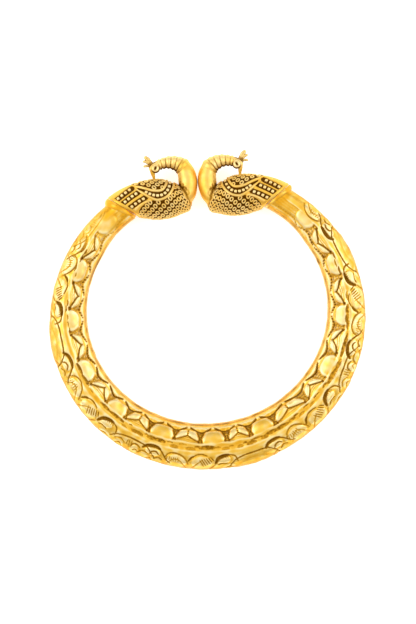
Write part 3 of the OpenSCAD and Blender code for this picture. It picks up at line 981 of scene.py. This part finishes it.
def hoop_half(name, front):
    strength = lerp(faded(OUTER_FADES), faded(INNER_FADES), in_row)
    depth = (sheet.relief - sheet.cut) * strength
    # raised spots are painted paler, as rubbing leaves them and as painted highlight; low spots deeper as
    # painted shade
    raised_sheen_and_low_shade = (depth - softened(depth, RUBBED_SHEEN_REACH)) / RUBBED_SHEEN_HEIGHT
    near_birds = 1 - ease((away(sheet.angle) - WARM_FROM) / (WARM_TO - WARM_FROM))
    from_edge = np.minimum(sheet.seen, sheet.width - sheet.seen)
    # painted shade: the gold is painted deeper near both edges, where the band turns away
    edge_shade = 1 - ease(from_edge / EDGE_SHADE_REACH)
    # painted shade: brown along both rims, strongest at the hole's edge at the back, fading out down the wall
    inner_rim_shade = lerp(INNER_RIM_SHADE, INNER_BACK_RIM_SHADE, at_back)
    rim_shade_strength = np.where(sheet.seen < sheet.width / 2, inner_rim_shade, OUTER_RIM_SHADE)
    above_wall = ease((sheet.points[..., 2] - MIDDLE - WALL_BARE_TO) / (RIM_FULL_AT - WALL_BARE_TO))
    rim = rim_shade_strength * (1 - ease(from_edge / RIM_SHADE_REACH)) * (1 + 0.25 * uneven) * above_wall
    # painted light by place, except near the birds, where the gold is deep and mottled
    tone = lerp(painted_light_by_place(), 0.7 - 0.5 * uneven, near_birds)
    values = {
        "chasing": depth,
        "recess": np.maximum(sheet.dark * strength, rim),
        "warm": tone + EDGE_SHADE_WARMTH * edge_shade - np.clip(raised_sheen_and_low_shade, -0.5, 1),
    }
    points, normals = sheet.points.copy(), outward(sheet.points)
    if not front:
        points[..., 2] = HOOP_HEIGHT - points[..., 2]
        normals[..., 2] *= -1
        points, normals = points[:, ::-1], normals[:, ::-1]
        values = {label: value[:, ::-1] for label, value in values.items()}
    facing = (normals * (points - [0, 0, MIDDLE]))[..., 2].mean()
    mesh = skin_mesh(name, points, values, crease=True)
    flat = np.concatenate([normals.reshape(-1, 3), np.zeros((2, 3))])
    vectors = mesh.attributes.new("outward", "FLOAT_VECTOR", "POINT")
    vectors.data.foreach_set("vector", flat.astype(np.float32).ravel())
    print(f"{name}: outward direction agrees: {facing > 0}")
    mesh = chasing.grow(mesh, {"Depth": MM, "Metal": chased_gold})
    new_piece(name, mesh, "hoop")


hoop_half("hoop_front", True)
hoop_half("hoop_back", False)

# %% [markdown]
# Each bird is a casting, and its form is a skin through a few oval sections: eight of them make the body
# from breast to tail, and thirteen the neck, from inside the breast over the arch to the face. A row
# gives a section's middle, its half width in the bangle's plane, its half thickness along the wrist and
# its lean. Only the left bird is modelled. The right one is its mirror image, turned and shifted a
# little, because the two were finished by hand.

# %% The birds' sections
# x, y, half width, half thickness, lean in degrees
BODY_ROWS = [
    (-1.95, 26.8, 0.5, 0.6, -8), (-2.6, 27.0, 1.9, 2.0, -6), (-4.5, 27.85, 3.4, 3.3, -2),
    (-7.4, 28.3, 4.7, 4.1, 0), (-11.0, 28.5, 5.1, 4.4, 0), (-14.5, 28.55, 4.6, 4.4, 6),
    (-17.3, 28.05, 4.2, 4.25, 27), (-19.45, 27.25, 4.2, 4.05, 55),
]
NECK_ROWS = [
    (-4.35, 27.4, 2.15, 2.4, -112), (-3.2, 29.2, 2.38, 2.6, -101), (-2.65, 31.3, 2.35, 2.5, -93),
    (-2.6, 33.0, 2.35, 2.4, -86), (-2.95, 34.8, 2.2, 2.3, -68), (-3.9, 36.35, 1.95, 2.0, -43),
    (-5.3, 37.15, 1.75, 1.75, -18), (-7.0, 37.5, 1.45, 1.5, -4), (-8.7, 37.3, 1.25, 1.35, 8),
    (-9.8, 36.9, 1.2, 1.25, 20), (-10.7, 36.35, 1.3, 1.25, 35), (-11.45, 35.85, 0.85, 1.0, 50),
    (-11.8, 35.6, 0.2, 0.3, 55),
]
RIGHT_TURN, RIGHT_SHIFT, RIGHT_DROP = np.radians(-2.7), 0.2, 0.25
PIVOT = Vector((BODY_ROWS[4][0], BODY_ROWS[4][1], 0))

to_right = (Matrix.Scale(-1, 4, (1, 0, 0))
            @ Matrix.Translation(Vector((RIGHT_SHIFT, -RIGHT_DROP, 0)) + PIVOT)
            @ Matrix.Rotation(RIGHT_TURN, 4, "Z") @ Matrix.Translation(-PIVOT))


def oval_points(row, turn, extra=0):
    """Points of oval sections at turns in degrees, where 0 is the side away from the wrist."""
    x, y, width, thickness, lean = np.moveaxis(np.asarray(row, float), -1, 0)[..., None]
    across = (width + extra) * np.cos(np.radians(turn))
    rise = (thickness + extra) * np.sin(np.radians(turn))
    tilt = np.radians(lean)
    return np.stack([x - across * np.sin(tilt), y + across * np.cos(tilt), MIDDLE + rise], -1)


def round_turns(sides, first=0):
    return first - 360 * np.arange(sides) / sides


def mirrored(mesh, name):
    """The right bird's copy of a mesh. Mirroring turns faces inside out, so they are flipped back."""
    copy = mesh.copy()
    copy.name = name
    metres = to_right.copy()
    metres.translation *= MM
    copy.transform(metres)
    copy.flip_normals()
    return copy


def both_sides(name, mesh, node=None):
    """The left piece and its mirrored twin."""
    twin = mirrored(mesh, name + "_right")
    new_piece(name + "_right", twin, node and node + "_right")
    new_piece(name + "_left", mesh, node and node + "_left")


print("the right bird's place:", [round(value, 2) for value in to_right @ PIVOT])

# %% [markdown]
# The collars are plain ferrules, wedge shaped, because the tail meets the hoop at an angle. One face
# is the tail's oval, the other the hoop's rounded square, and the skin runs straight between them with a
# slight swelling on the outer side. A fine ridge stands next to the tail with a groove behind it.
# The two collars differ, so each is worked out from its own end of the hoop.

# %% Collars
TAIL_GAP, HOOP_GAP = 0.1, 0.04
COLLAR_SWELL = 0.3
COLLAR_SEED, COLLAR_DENTS = 5, 0.06
COLLAR_RINGS, COLLAR_SIDES = 40, 120
RIDGE_AT, GROOVE_AT = 0.1, 0.22
TAIL = BODY_ROWS[-1]
tail_lean = np.radians(TAIL[4] + 180)
tail_way = np.array([np.cos(tail_lean), np.sin(tail_lean), 0])


def collar(name, right):
    """One collar, worked out in the left bird's place and mirrored if it is the right one."""
    hoop_face = hoop_skin(np.array([1.0 if right else 0.0]), -round_turns(COLLAR_SIDES))[0][0]
    if right:
        back = np.array(to_right.inverted())
        hoop_face = hoop_face @ back[:3, :3].T + back[:3, 3]
    hoop_face = hoop_face - HOOP_GAP * tail_way
    tail_face = oval_points([TAIL], round_turns(COLLAR_SIDES, first=180))[0] + TAIL_GAP * tail_way
    share = np.linspace(0, 1, COLLAR_RINGS)[:, None]
    rings = lerp(tail_face[None], hoop_face[None], share[..., None])
    out = unit(rings - rings.mean(1, keepdims=True))
    outer_side = (1 - np.cos(np.radians(round_turns(COLLAR_SIDES)))) / 2
    groove = bell(share - GROOVE_AT, 0.05)
    swell = COLLAR_SWELL * outer_side * np.sin(np.pi * share)
    swell = swell + 0.06 * bell(share - RIDGE_AT, 0.07) - 0.04 * groove
    uneven = waves(rings, COLLAR_SEED, 2, 5)
    swell = swell + COLLAR_DENTS * uneven * np.sin(np.pi * share)
    values = {"recess": 0.15 * groove + 0 * outer_side, "warm": 0.3 + 0.35 * share - 0.6 * uneven}
    mesh = skin_mesh(name, rings + out * swell[..., None], values)
    mesh.materials.append(plain_gold)
    placed = mirrored(mesh, name) if right else mesh
    new_piece(name, placed, name.replace("ferrule", "collar"))


collar("ferrule_left", False)
collar("ferrule_right", True)

# %% [markdown]
# On the body the caster cut a whole drawing: ring scales on breast, belly and back, a wing with two curved
# ribs and a row of beads between them, one more rib from the wing towards the tail, and three bead rows
# on the tail. Scales and beads stand on a sunk ground that stays brown. The drawing is kept as a few
# curves in the plane of the bangle, and it is laid on both faces of the bird. path_distance() tells how
# far a point is from such a curve and on which side of it, so each region is simply what lies between
# its edges.

# %% The drawing on the body
WING_LOW = [(-15.8, 31.4), (-14.1, 30.25), (-12.6, 29.15), (-11.4, 28.5), (-10.3, 28.2), (-8.65, 28.55),
            (-7.3, 29.5), (-6.35, 30.9), (-6.0, 32.2)]
WING_HIGH = [(-15.9, 32.0), (-14.35, 31.6), (-13.1, 31.2), (-11.7, 30.7), (-10.2, 30.5), (-9.15, 30.65),
             (-8.45, 31.35), (-7.95, 32.3), (-7.8, 33.0)]
WING_BEADS = [(-13.1, 30.3), (-12.1, 29.75), (-10.9, 29.35), (-9.6, 29.3), (-8.5, 29.75), (-7.75, 30.5),
              (-7.3, 31.4), (-7.05, 32.35)]
TAIL_RIB = [(-12.0, 28.3), (-13.45, 27.85), (-14.9, 27.1), (-16.2, 26.15)]
SCALES_TOP = [(-15.5, 22.5), (-15.5, 24.6), (-15.15, 25.8), (-14.6, 26.65), (-13.3, 27.6), (-12.1, 28.05)]
SCALES_TOP += WING_LOW[4:] + [(-5.9, 34.0)]
BACK_LOW = [(-17.5, 32.7), (-15.2, 32.2), (-13.6, 31.75)] + WING_HIGH[3:] + [(-7.7, 34.0)]
# where each row of beads on the tail starts, the middle of its curve, and where it ends
TAIL_BEADS = [
    [(-20.2, 29.2), (-18.75, 30.2), (-17.26, 31.14)],
    [(-18.5, 28.27), (-17.1, 29.25), (-15.7, 30.07)],
    [(-16.9, 26.96), (-15.4, 27.95), (-13.94, 28.7)],
]
CHANNEL_HALF, CHANNEL_DEPTH = 0.66, 0.28
CHANNEL_PAST_BEADS = 0.75
NECK_ROOT = [(-5.6, 32.6), (-4.6, 31.5), (-3.7, 30.4), (-3.2, 29.2), (-2.8, 27.6), (-2.3, 26.2)]
SCALE_GROUND, WING_GROUND = 0.18, 0.26
DRAWN_EDGE = 0.12


def path_distance(x, y, path):
    """Distance from a path, below 0 on its right-hand side."""
    best = np.full(x.shape, 99.0)
    sign = np.ones(x.shape)
    for start, stop in zip(path[:-1], path[1:]):
        way_x, way_y = stop[0] - start[0], stop[1] - start[1]
        along = ((x - start[0]) * way_x + (y - start[1]) * way_y) / (way_x ** 2 + way_y ** 2)
        held = np.clip(along, 0, 1)
        gap_x, gap_y = x - start[0] - held * way_x, y - start[1] - held * way_y
        gap = np.hypot(gap_x, gap_y)
        near = gap < best
        best = np.where(near, gap, best)
        sign = np.where(near, np.where(way_x * gap_y < way_y * gap_x, -1, 1), sign)
    return best * sign


def above(x, y, path):
    """1 above a path that runs from left to right, 0 below it."""
    return ease(path_distance(x, y, path) / DRAWN_EDGE + 0.5)


def scale_regions(x, y):
    """Where the ring scales lie: on breast and belly, and on the back above the wing."""
    behind_neck = ease(0.4 - path_distance(x, y, NECK_ROOT) / 0.3)
    belly = (1 - above(x, y, SCALES_TOP)) * behind_neck
    back = above(x, y, BACK_LOW) * behind_neck
    return belly, back


def drawing(x, y):
    """Depth and darkness of the body's drawing at places in the bangle's plane."""
    belly, back = scale_regions(x, y)
    wing = above(x, y, WING_LOW) * (1 - above(x, y, WING_HIGH)) * ease((x + 15.4) / 0.4)
    depth = np.maximum(SCALE_GROUND * np.maximum(belly, back), WING_GROUND * wing)
    dark = np.maximum(np.maximum(belly, back), wing)
    for row in TAIL_BEADS:
        first, middle, last = np.array(row)
        reach = CHANNEL_PAST_BEADS * unit(last - first)
        gap = path_distance(x, y, [first - 2 * reach, first, middle, last, last + reach])
        groove = ease((CHANNEL_HALF - np.abs(gap)) / 0.16 + 0.5)
        depth = np.maximum(depth, CHANNEL_DEPTH * groove)
        dark = np.maximum(dark, groove)
    rim = path_distance(x, y, [(-22.5, 29.95), (-15.6, 25.05)])
    root = bell(path_distance(x, y, NECK_ROOT), 0.35)
    depth = np.maximum(depth, 0.08 * root) * ease((rim - 0.25) / 0.2) - 0.06 * bell(rim, 0.3)
    return depth, np.maximum(dark * ease((rim - 0.2) / 0.15), 0.8 * root)


BODY_RINGS, BODY_SIDES = 190, 216
body_plain = oval_points(rows_at(BODY_ROWS, np.linspace(0, 1, BODY_RINGS)), round_turns(BODY_SIDES))
depth, dark = drawing(body_plain[..., 0], body_plain[..., 1])
body_cut = body_plain - outward(body_plain) * depth[..., None]
body_mesh = skin_mesh("body", body_cut, {"recess": dark, "warm": 0.1 * (1 - dark)})
print("body:", body_cut.shape[:2], "points, dark share", round(float((dark > 0.5).mean()), 2))

# %% [markdown]
# The neck rises smooth and full to a bright ring, and from there five bars circle it up to the head,
# each with a dark line between it and the next. Both come from the same rule: the sections are grown by
# a small swelling that depends on the place along the neck. The brown is painted stronger on the inner
# side of the arch, with a brown band along it, and brown is painted in the corner where the neck rises
# from the breast and where the two necks touch: all of this is painted shade. From the ring on the gold
# is paler, because the bars stand out and are rubbed more. The long streaks on the smooth neck are the
# lamps' reflections, so nothing is painted for them.

# %% Neck
NECK_BAR, NECK_BARS, BARS_FROM, BARS_TO = 0.2, 5, 0.44, 0.74
RING_AT, RING_HEIGHT, RING_SPREAD = 0.415, 0.28, 0.022
NECK_RINGS, NECK_SIDES = 260, 96
ROOT_SHADE_SEED = 21
SMOOTH_TONE, BARRED_TONE = -0.1, -0.5


def neck():
    share = np.linspace(0, 1, NECK_RINGS)[:, None]
    place = (share - BARS_FROM) / (BARS_TO - BARS_FROM)
    barred = (place > 0) & (place < 1)
    wave = np.sin(np.pi * NECK_BARS * place) ** 2
    ring = RING_HEIGHT * np.exp(-((share - RING_AT) / RING_SPREAD) ** 2)
    turns = round_turns(NECK_SIDES)
    grid = oval_points(rows_at(NECK_ROWS, share[:, 0]), turns, ring + NECK_BAR * wave * barred)
    inner = 0.5 - 0.5 * np.cos(np.radians(turns))
    lines = ease((0.3 - wave) / 0.26) * barred
    beside_ring = np.maximum(bell(share - RING_AT - 0.034, 0.012), 0.6 * bell(share - RING_AT + 0.036, 0.008))
    # painted shade: the lines' brown, which is patina, grows stronger towards the inside of the arch
    dark = np.maximum(lines, beside_ring) * lerp(0.2, 0.8, inner)
    # painted shade: a brown band along the inside of the arch
    arch_edge = lerp(0.94, 0.83, ease((share - 0.36) / 0.1))
    arch_shade = ease((inner - arch_edge) / 0.1) * ease((share - 0.25) / 0.1) * 0.9
    # painted shade where the two necks touch
    necks_touch_shade = 0.9 * bell(grid[..., 1] - 32.4, 1.3) * ease((0.02 - inner) / 0.02)
    top_edge = ease((0.16 - inner) / 0.1) * ease((share - 0.72) / 0.05) * ease((0.94 - share) / 0.05) * 0.8
    from_root = path_distance(grid[..., 0], grid[..., 1], NECK_ROOT)
    corner = bell(from_root, 0.45) * lerp(0.35, 1, inner)
    # painted shade, mottled, in the corner where the neck rises from the breast
    grain = np.clip(0.75 + 0.35 * waves(grid, ROOT_SHADE_SEED, 0.5, 1.1), 0.3, 1.2)
    root_corner_shade = 0.85 * grain * np.exp(-(from_root / 0.9) ** 2) * ease((grid[..., 1] - 27.5) / 3)
    dark = np.maximum.reduce([dark, arch_shade, top_edge, corner, root_corner_shade, necks_touch_shade])
    tone = lerp(SMOOTH_TONE, BARRED_TONE, ease((share - RING_AT) / 0.05))
    return skin_mesh("neck", grid, {"recess": dark, "warm": tone + 0 * dark})


neck_mesh = neck()
print("neck:", len(neck_mesh.vertices), "points")

# %% [markdown]
# The head is small. A disc with a raised rim is the eye, with a slanting slot for its pupil, and it looks
# the same from both faces. The beak reaches down to the back and rests on it, which makes the arch
# stiff. Three petals stand up as the crest, each with a groove along it. All of these are skins of
# their own, sunk into the head a little, as they would be in the wax that the bird was cast from.

# %% Eye, beak and crest
EYE_AT, EYE_RADIUS, EYE_FACE = (-10.46, 36.2), 1.15, 1.52
EYE_RIM, EYE_RIM_HEIGHT = 0.72, 0.14
SLOT_LONG, SLOT_SHORT, SLOT_DEPTH, SLOT_TILT = 0.4, 0.25, 0.2, np.radians(58)
# x, y, half width, half thickness, lean in degrees
BEAK_ROWS = [(-11.3, 35.8, 0.6, 0.6, 90), (-11.22, 35.0, 0.56, 0.58, 90), (-11.08, 34.3, 0.42, 0.46, 90),
             (-10.98, 33.6, 0.32, 0.38, 90), (-10.95, 33.0, 0.3, 0.36, 90)]
CREST = [
    [(-10.9, 36.9, 0.3, 0.5, -45), (-11.6, 37.8, 0.46, 0.55, -48), (-12.3, 38.65, 0.56, 0.55, -44),
     (-12.85, 39.15, 0.42, 0.42, -40), (-13.1, 39.35, 0.1, 0.14, -36)],
    [(-11.2, 36.8, 0.26, 0.5, -30), (-12.1, 37.6, 0.36, 0.5, -38), (-12.85, 38.05, 0.36, 0.48, -22),
     (-13.35, 38.15, 0.28, 0.36, -8), (-13.55, 38.15, 0.08, 0.12, 0)],
    [(-11.3, 36.6, 0.24, 0.5, -15), (-12.2, 36.95, 0.32, 0.48, -12), (-12.9, 36.95, 0.32, 0.42, 8),
     (-13.3, 36.85, 0.24, 0.32, 14), (-13.5, 36.78, 0.08, 0.12, 18)],
]
SMALL_SIDES = 28


def eye():
    """A disc with two like faces, closed round its edge inside the head."""
    steps, sides = 20, 44
    radius = EYE_RADIUS * np.sin(np.linspace(0.02, np.pi / 2, steps))[:, None]
    from_rim = radius - EYE_RIM
    height = EYE_FACE + EYE_RIM_HEIGHT * bell(from_rim, 0.2) - 0.9 * ease((from_rim - 0.1) / 0.35)
    turn = np.radians(round_turns(sides))
    x, y = radius * np.cos(turn), radius * np.sin(turn)
    long = (x * np.cos(SLOT_TILT) + y * np.sin(SLOT_TILT)) / SLOT_LONG
    short = (y * np.cos(SLOT_TILT) - x * np.sin(SLOT_TILT)) / SLOT_SHORT
    slot = ease(1.6 - np.hypot(long, short))
    front = np.stack([EYE_AT[0] + x, EYE_AT[1] + y, MIDDLE + height - SLOT_DEPTH * slot], -1)
    back = front[::-1] * [1, 1, -1] + [0, 0, 2 * MIDDLE]
    dark = np.maximum(slot, 0.9 * ease((from_rim - 0.16) / 0.1) + 0 * turn)
    dark = np.concatenate([dark, dark[::-1]])
    return skin_mesh("eye", np.concatenate([front, back]), {"recess": dark, "warm": 0 * dark - 0.8})


def petal(name, rows):
    share = np.linspace(0, 1, 36)[:, None]
    turns = round_turns(SMALL_SIDES)
    grid = oval_points(rows_at(rows, share[:, 0]), turns)
    flat_face = np.abs(np.sin(np.radians(turns))) ** 6
    groove = flat_face * ease((share - 0.15) / 0.15) * ease((0.93 - share) / 0.1)
    flanks = ease((np.abs(np.cos(np.radians(turns))) - 0.75) / 0.2) * (1 - ease((share - 0.6) / 0.35))
    foot = 1 - ease((share - 0.2) / 0.15)
    grid = grid - outward(grid) * 0.1 * groove[..., None]
    dark = np.maximum(0.3 * groove, np.maximum(0.9 * flanks, 0.55 * foot))
    return skin_mesh(name, grid, {"recess": dark, "warm": 0 * dark - 0.6})


def beak():
    share = np.linspace(0, 1, 40)[:, None]
    grid = oval_points(rows_at(BEAK_ROWS, share[:, 0]), round_turns(SMALL_SIDES))
    # painted shade: brown at both ends, under the head and where the beak rests on the back
    ends = np.maximum(1 - ease(share / 0.14), ease((share - 0.66) / 0.2))
    dark = np.maximum(0.85 * ends, 0.3) + np.zeros(SMALL_SIDES)
    return skin_mesh("beak", grid, {"recess": dark, "warm": 0 * dark})


def joined(name, meshes):
    """One mesh from several, made by Blender's own join, which keeps their named values."""
    parts = [bpy.data.objects.new(f"part_{i}", mesh) for i, mesh in enumerate(meshes)]
    for part in parts:
        bpy.context.scene.collection.objects.link(part)
    with bpy.context.temp_override(active_object=parts[0], object=parts[0], selected_objects=parts,
                                   selected_editable_objects=parts):
        bpy.ops.object.join()
    mesh = parts[0].data
    bpy.data.objects.remove(parts[0])
    mesh.name = name
    mesh.materials.append(antique_gold)
    return mesh


petals = [petal(f"petal_{i}", rows) for i, rows in enumerate(CREST)]
casting = joined("casting", [body_mesh, neck_mesh, eye(), beak(), *petals])
both_sides("bird", casting, "peacock")

# %% [markdown]
# What repeats on the bird is grown by Geometry Nodes. The first tree sets the ring scales. It gets loose
# points near the skin, moves each to the nearest place on the body, and sets a small oval ring there,
# flat on the skin and with its long axis up and back. The points come from a rule: rows that run
# along the body 11 degrees apart, rings 2.1 mm apart in a row, and each row drifting against the next.
# They are kept where the drawing has scales.

# %% Ring scales
SCALE_ROWS, ROWS_BEFORE = 32, 9
FIRST_ROW = 100.3
SCALE_PITCH, FIRST_SCALE, ROW_DRIFT = 2.13, -8.1, 0.85
SCALE_SIZES = {"Long": 0.5, "Short": 0.37, "Wire": 0.2, "Sink": 0.12}
SCALE_COLUMNS = 14
SCALES_FROM, SCALES_TO, REGION_LEAST = -16.4, -2.5, 0.6

skin = bpy.data.objects.new("plain_body", skin_mesh("plain_body", body_plain))
bpy.context.scene.collection.objects.link(skin)

scales = Tree("ring_scales", {"Skin": "Object", "Metal": "Material", **dict.fromkeys(SCALE_SIZES, "Float")})
body_here = scales.add("GeometryNodeObjectInfo", {0: scales.start["Skin"]}, out=4, transform_space="RELATIVE")
place_here = scales.add("GeometryNodeInputPosition")
normal_here = scales.add("GeometryNodeInputNormal")
seat = scales.add("GeometryNodeSampleNearestSurface", {0: body_here, 1: place_here}, data_type="FLOAT_VECTOR")
way_up = scales.add("GeometryNodeSampleNearestSurface", {0: body_here, 1: normal_here},
                    data_type="FLOAT_VECTOR")
facing = scales.add("GeometryNodeStoreNamedAttribute",
                    {0: scales.start["Geometry"], "Name": "up", "Value": way_up}, data_type="FLOAT_VECTOR")
seated = scales.add("GeometryNodeSetPosition", {0: facing, "Position": seat})
stored_up = scales.add("GeometryNodeInputNamedAttribute", {"Name": "up"}, data_type="FLOAT_VECTOR")
sunk = scales.add("ShaderNodeMath", {0: 0.0, 1: scales.start["Sink"]}, operation="SUBTRACT")
down = scales.add("ShaderNodeVectorMath", {0: stored_up, "Scale": sunk}, operation="SCALE")
lowered = scales.add("GeometryNodeSetPosition", {0: seated, "Offset": down})
size = scales.add("ShaderNodeCombineXYZ", {0: scales.start["Short"], 1: scales.start["Long"], 2: 1.0})
circle = scales.add("GeometryNodeCurvePrimitiveCircle", {"Resolution": 12, 4: 1.0})
oval = scales.add("GeometryNodeTransform", {0: circle, "Scale": size})
wire = scales.add("GeometryNodeCurvePrimitiveCircle", {"Resolution": 6, 4: scales.start["Wire"]})
sunk_wire = scales.add("ShaderNodeMath", {0: scales.start["Wire"], 1: -1.0}, operation="MULTIPLY")
bare_ring = scales.add("GeometryNodeCurveToMesh", {0: oval, 1: wire})
rise = scales.add("ShaderNodeSeparateXYZ", {0: place_here}, out=2)
low_wire = scales.add("ShaderNodeMath", {0: scales.start["Wire"], 1: -0.3}, operation="MULTIPLY")
foot = scales.add("ShaderNodeMapRange", {0: rise, 1: low_wire, 2: sunk_wire, 3: 0.0, 4: 1.0})
ring = scales.add("GeometryNodeStoreNamedAttribute", {0: bare_ring, "Name": "recess", "Value": foot})
ring = scales.add("GeometryNodeStoreNamedAttribute", {0: ring, "Name": "warm", "Value": -0.4})
turned = scales.add("FunctionNodeAxesToRotation", {0: stored_up, 1: (-0.5, 0.87, 0)},
                    primary_axis="Z", secondary_axis="Y")
scales.finish(scales.add("GeometryNodeInstanceOnPoints", {0: lowered, "Instance": ring, "Rotation": turned}))


def loose_points(name, places):
    mesh = bpy.data.meshes.new(name)
    mesh.from_pydata([tuple(place * MM) for place in places], [], [])
    return mesh


def scale_places():
    """Points on the body's plain skin where the drawing has ring scales."""
    shares = np.linspace(0, 1, 400)
    middle_x = rows_at(BODY_ROWS, shares)[:, 0]
    places = []
    for row in range(-ROWS_BEFORE, SCALE_ROWS - ROWS_BEFORE):
        turn = FIRST_ROW + 360 / SCALE_ROWS * row
        for column in range(-SCALE_COLUMNS, SCALE_COLUMNS + 1):
            x = FIRST_SCALE + SCALE_PITCH * column - ROW_DRIFT * row
            if not SCALES_FROM < x < SCALES_TO:
                continue
            share = np.interp(-x, -middle_x, shares)
            point = oval_points(rows_at(BODY_ROWS, [share]), np.array([turn]))[0, 0]
            belly, back = scale_regions(point[:1], point[1:2])
            if max(belly[0], back[0]) > REGION_LEAST:
                places.append(point)
    return places


places = scale_places()
grown = scales.grow(loose_points("scales", places), {
    "Skin": skin, "Metal": antique_gold, **{label: value * MM for label, value in SCALE_SIZES.items()}})
both_sides("ring_scales", grown)
print("ring scales on each bird:", len(places))

# %% [markdown]
# The second tree lays things along a curve on the skin. A path is drawn in the bangle's plane and held
# well above the bird. Raycast drops each of its points straight down on the body, as one would press a
# wax wire on it, and the wire or the beads follow what is hit. The same tree does both faces, because
# each path carries a side, 1 for the front and -1 for the back, which turns the ray round.

# %% Ribs and beads
RIB_RADIUS, RIB_SINK, RIB_STEP = 0.36, 0.12, 0.25
BEAD_SIZE, WING_STEP, TAIL_STEP, BEAD_SINK = 0.74, 0.98, 1.05, 0.12
HELD_AT = 12
PATH_POINTS, THIN_START = 40, 0.35


def on_skin(tree, curve):
    """Nodes that drop a curve's points on the skin along Z and sink them by the input Sink."""
    body = tree.add("GeometryNodeObjectInfo", {0: tree.start["Skin"]}, out=4, transform_space="RELATIVE")
    side = tree.add("GeometryNodeInputNamedAttribute", {"Name": "side"}, data_type="FLOAT")
    back = tree.add("ShaderNodeMath", {0: side, 1: -1.0}, operation="MULTIPLY")
    ray = tree.add("ShaderNodeCombineXYZ", {2: back})
    hit = tree.add("GeometryNodeRaycast", {0: body, "Ray Direction": ray, "Ray Length": 0.1})
    found, place, normal = (hit.node.outputs[label] for label in ("Is Hit", "Hit Position", "Hit Normal"))
    upright = tree.add("GeometryNodeStoreNamedAttribute", {0: curve, "Name": "up", "Value": normal},
                       data_type="FLOAT_VECTOR")
    low = tree.add("ShaderNodeMath", {0: 0.0, 1: tree.start["Sink"]}, operation="SUBTRACT")
    down = tree.add("ShaderNodeVectorMath", {0: normal, "Scale": low}, operation="SCALE")
    seat = tree.add("ShaderNodeVectorMath", {0: place, 1: down}, operation="ADD")
    return tree.add("GeometryNodeSetPosition", {0: upright, "Selection": found, "Position": seat})


def path_tree(name):
    """A tree that starts with drawn paths as evenly spaced curves on the skin."""
    sizes = dict.fromkeys(("Size", "Step", "Sink"), "Float")
    tree = Tree(name, {"Skin": "Object", "Metal": "Material", **sizes})
    drawn = tree.add("GeometryNodeMeshToCurve", {0: tree.start["Geometry"]})
    spaced = tree.add("GeometryNodeResampleCurve", {0: drawn, "Length": tree.start["Step"]}, mode="LENGTH")
    return tree, on_skin(tree, spaced)


ribs, rib_line = path_tree("ribs")
wide = ribs.add("GeometryNodeInputNamedAttribute", {"Name": "wide"}, data_type="FLOAT")
section_circle = ribs.add("GeometryNodeCurvePrimitiveCircle", {"Resolution": 10, 4: ribs.start["Size"]})
rib = ribs.add("GeometryNodeCurveToMesh", {0: rib_line, 1: section_circle, "Scale": wide, "Fill Caps": True})
ribs.finish(rib, warm=-0.3)

beads, bead_line = path_tree("beads")
cube_size = beads.add("ShaderNodeCombineXYZ", {i: beads.start["Size"] for i in range(3)})
cube = beads.add("GeometryNodeMeshCube", {0: cube_size})
pillow = beads.add("GeometryNodeSubdivisionSurface", {0: cube, "Level": 2, "Edge Crease": 0.35})
pillow = beads.add("GeometryNodeStoreNamedAttribute", {0: pillow, "Name": "warm", "Value": -0.8})
bead_up = beads.add("GeometryNodeInputNamedAttribute", {"Name": "up"}, data_type="FLOAT_VECTOR")
bead_turn = beads.add("FunctionNodeAxesToRotation", {0: bead_up, 1: beads.add("GeometryNodeInputTangent")},
                      primary_axis="Z", secondary_axis="X")
strung = {0: bead_line, "Instance": pillow, "Rotation": bead_turn}
beads.finish(beads.add("GeometryNodeInstanceOnPoints", strung))


def drawn_paths(name, paths):
    """Smooth lines over the front and under the back, each with its side and a width that starts thin."""
    points, edges, side, wide = [], [], [], []
    share = np.linspace(0, 1, PATH_POINTS)
    for path in paths:
        smooth = rows_at(path, share)
        for facing in (1, -1):
            start = len(points)
            points += [(x * MM, y * MM, (MIDDLE + facing * HELD_AT) * MM) for x, y in smooth]
            edges += [(start + i, start + i + 1) for i in range(PATH_POINTS - 1)]
            side += [facing] * PATH_POINTS
            wide += list(lerp(THIN_START, 1, ease(share / 0.15)))
    mesh = bpy.data.meshes.new(name)
    mesh.from_pydata(points, edges, [])
    for label, value in {"side": side, "wide": wide}.items():
        mesh.attributes.new(label, "FLOAT", "POINT").data.foreach_set("value", np.array(value, np.float32))
    return mesh


def grow_paths(name, tree, paths, size, step, sink):
    values = {"Skin": skin, "Metal": antique_gold, "Size": size * MM, "Step": step * MM, "Sink": sink * MM}
    both_sides(name, tree.grow(drawn_paths(name, paths), values))


grow_paths("wing_ribs", ribs, [WING_LOW, WING_HIGH, TAIL_RIB], RIB_RADIUS, RIB_STEP, RIB_SINK)
grow_paths("wing_beads", beads, [WING_BEADS], BEAD_SIZE, WING_STEP, BEAD_SINK)
grow_paths("tail_beads", beads, TAIL_BEADS, BEAD_SIZE, TAIL_STEP, BEAD_SINK)
bpy.data.objects.remove(skin)
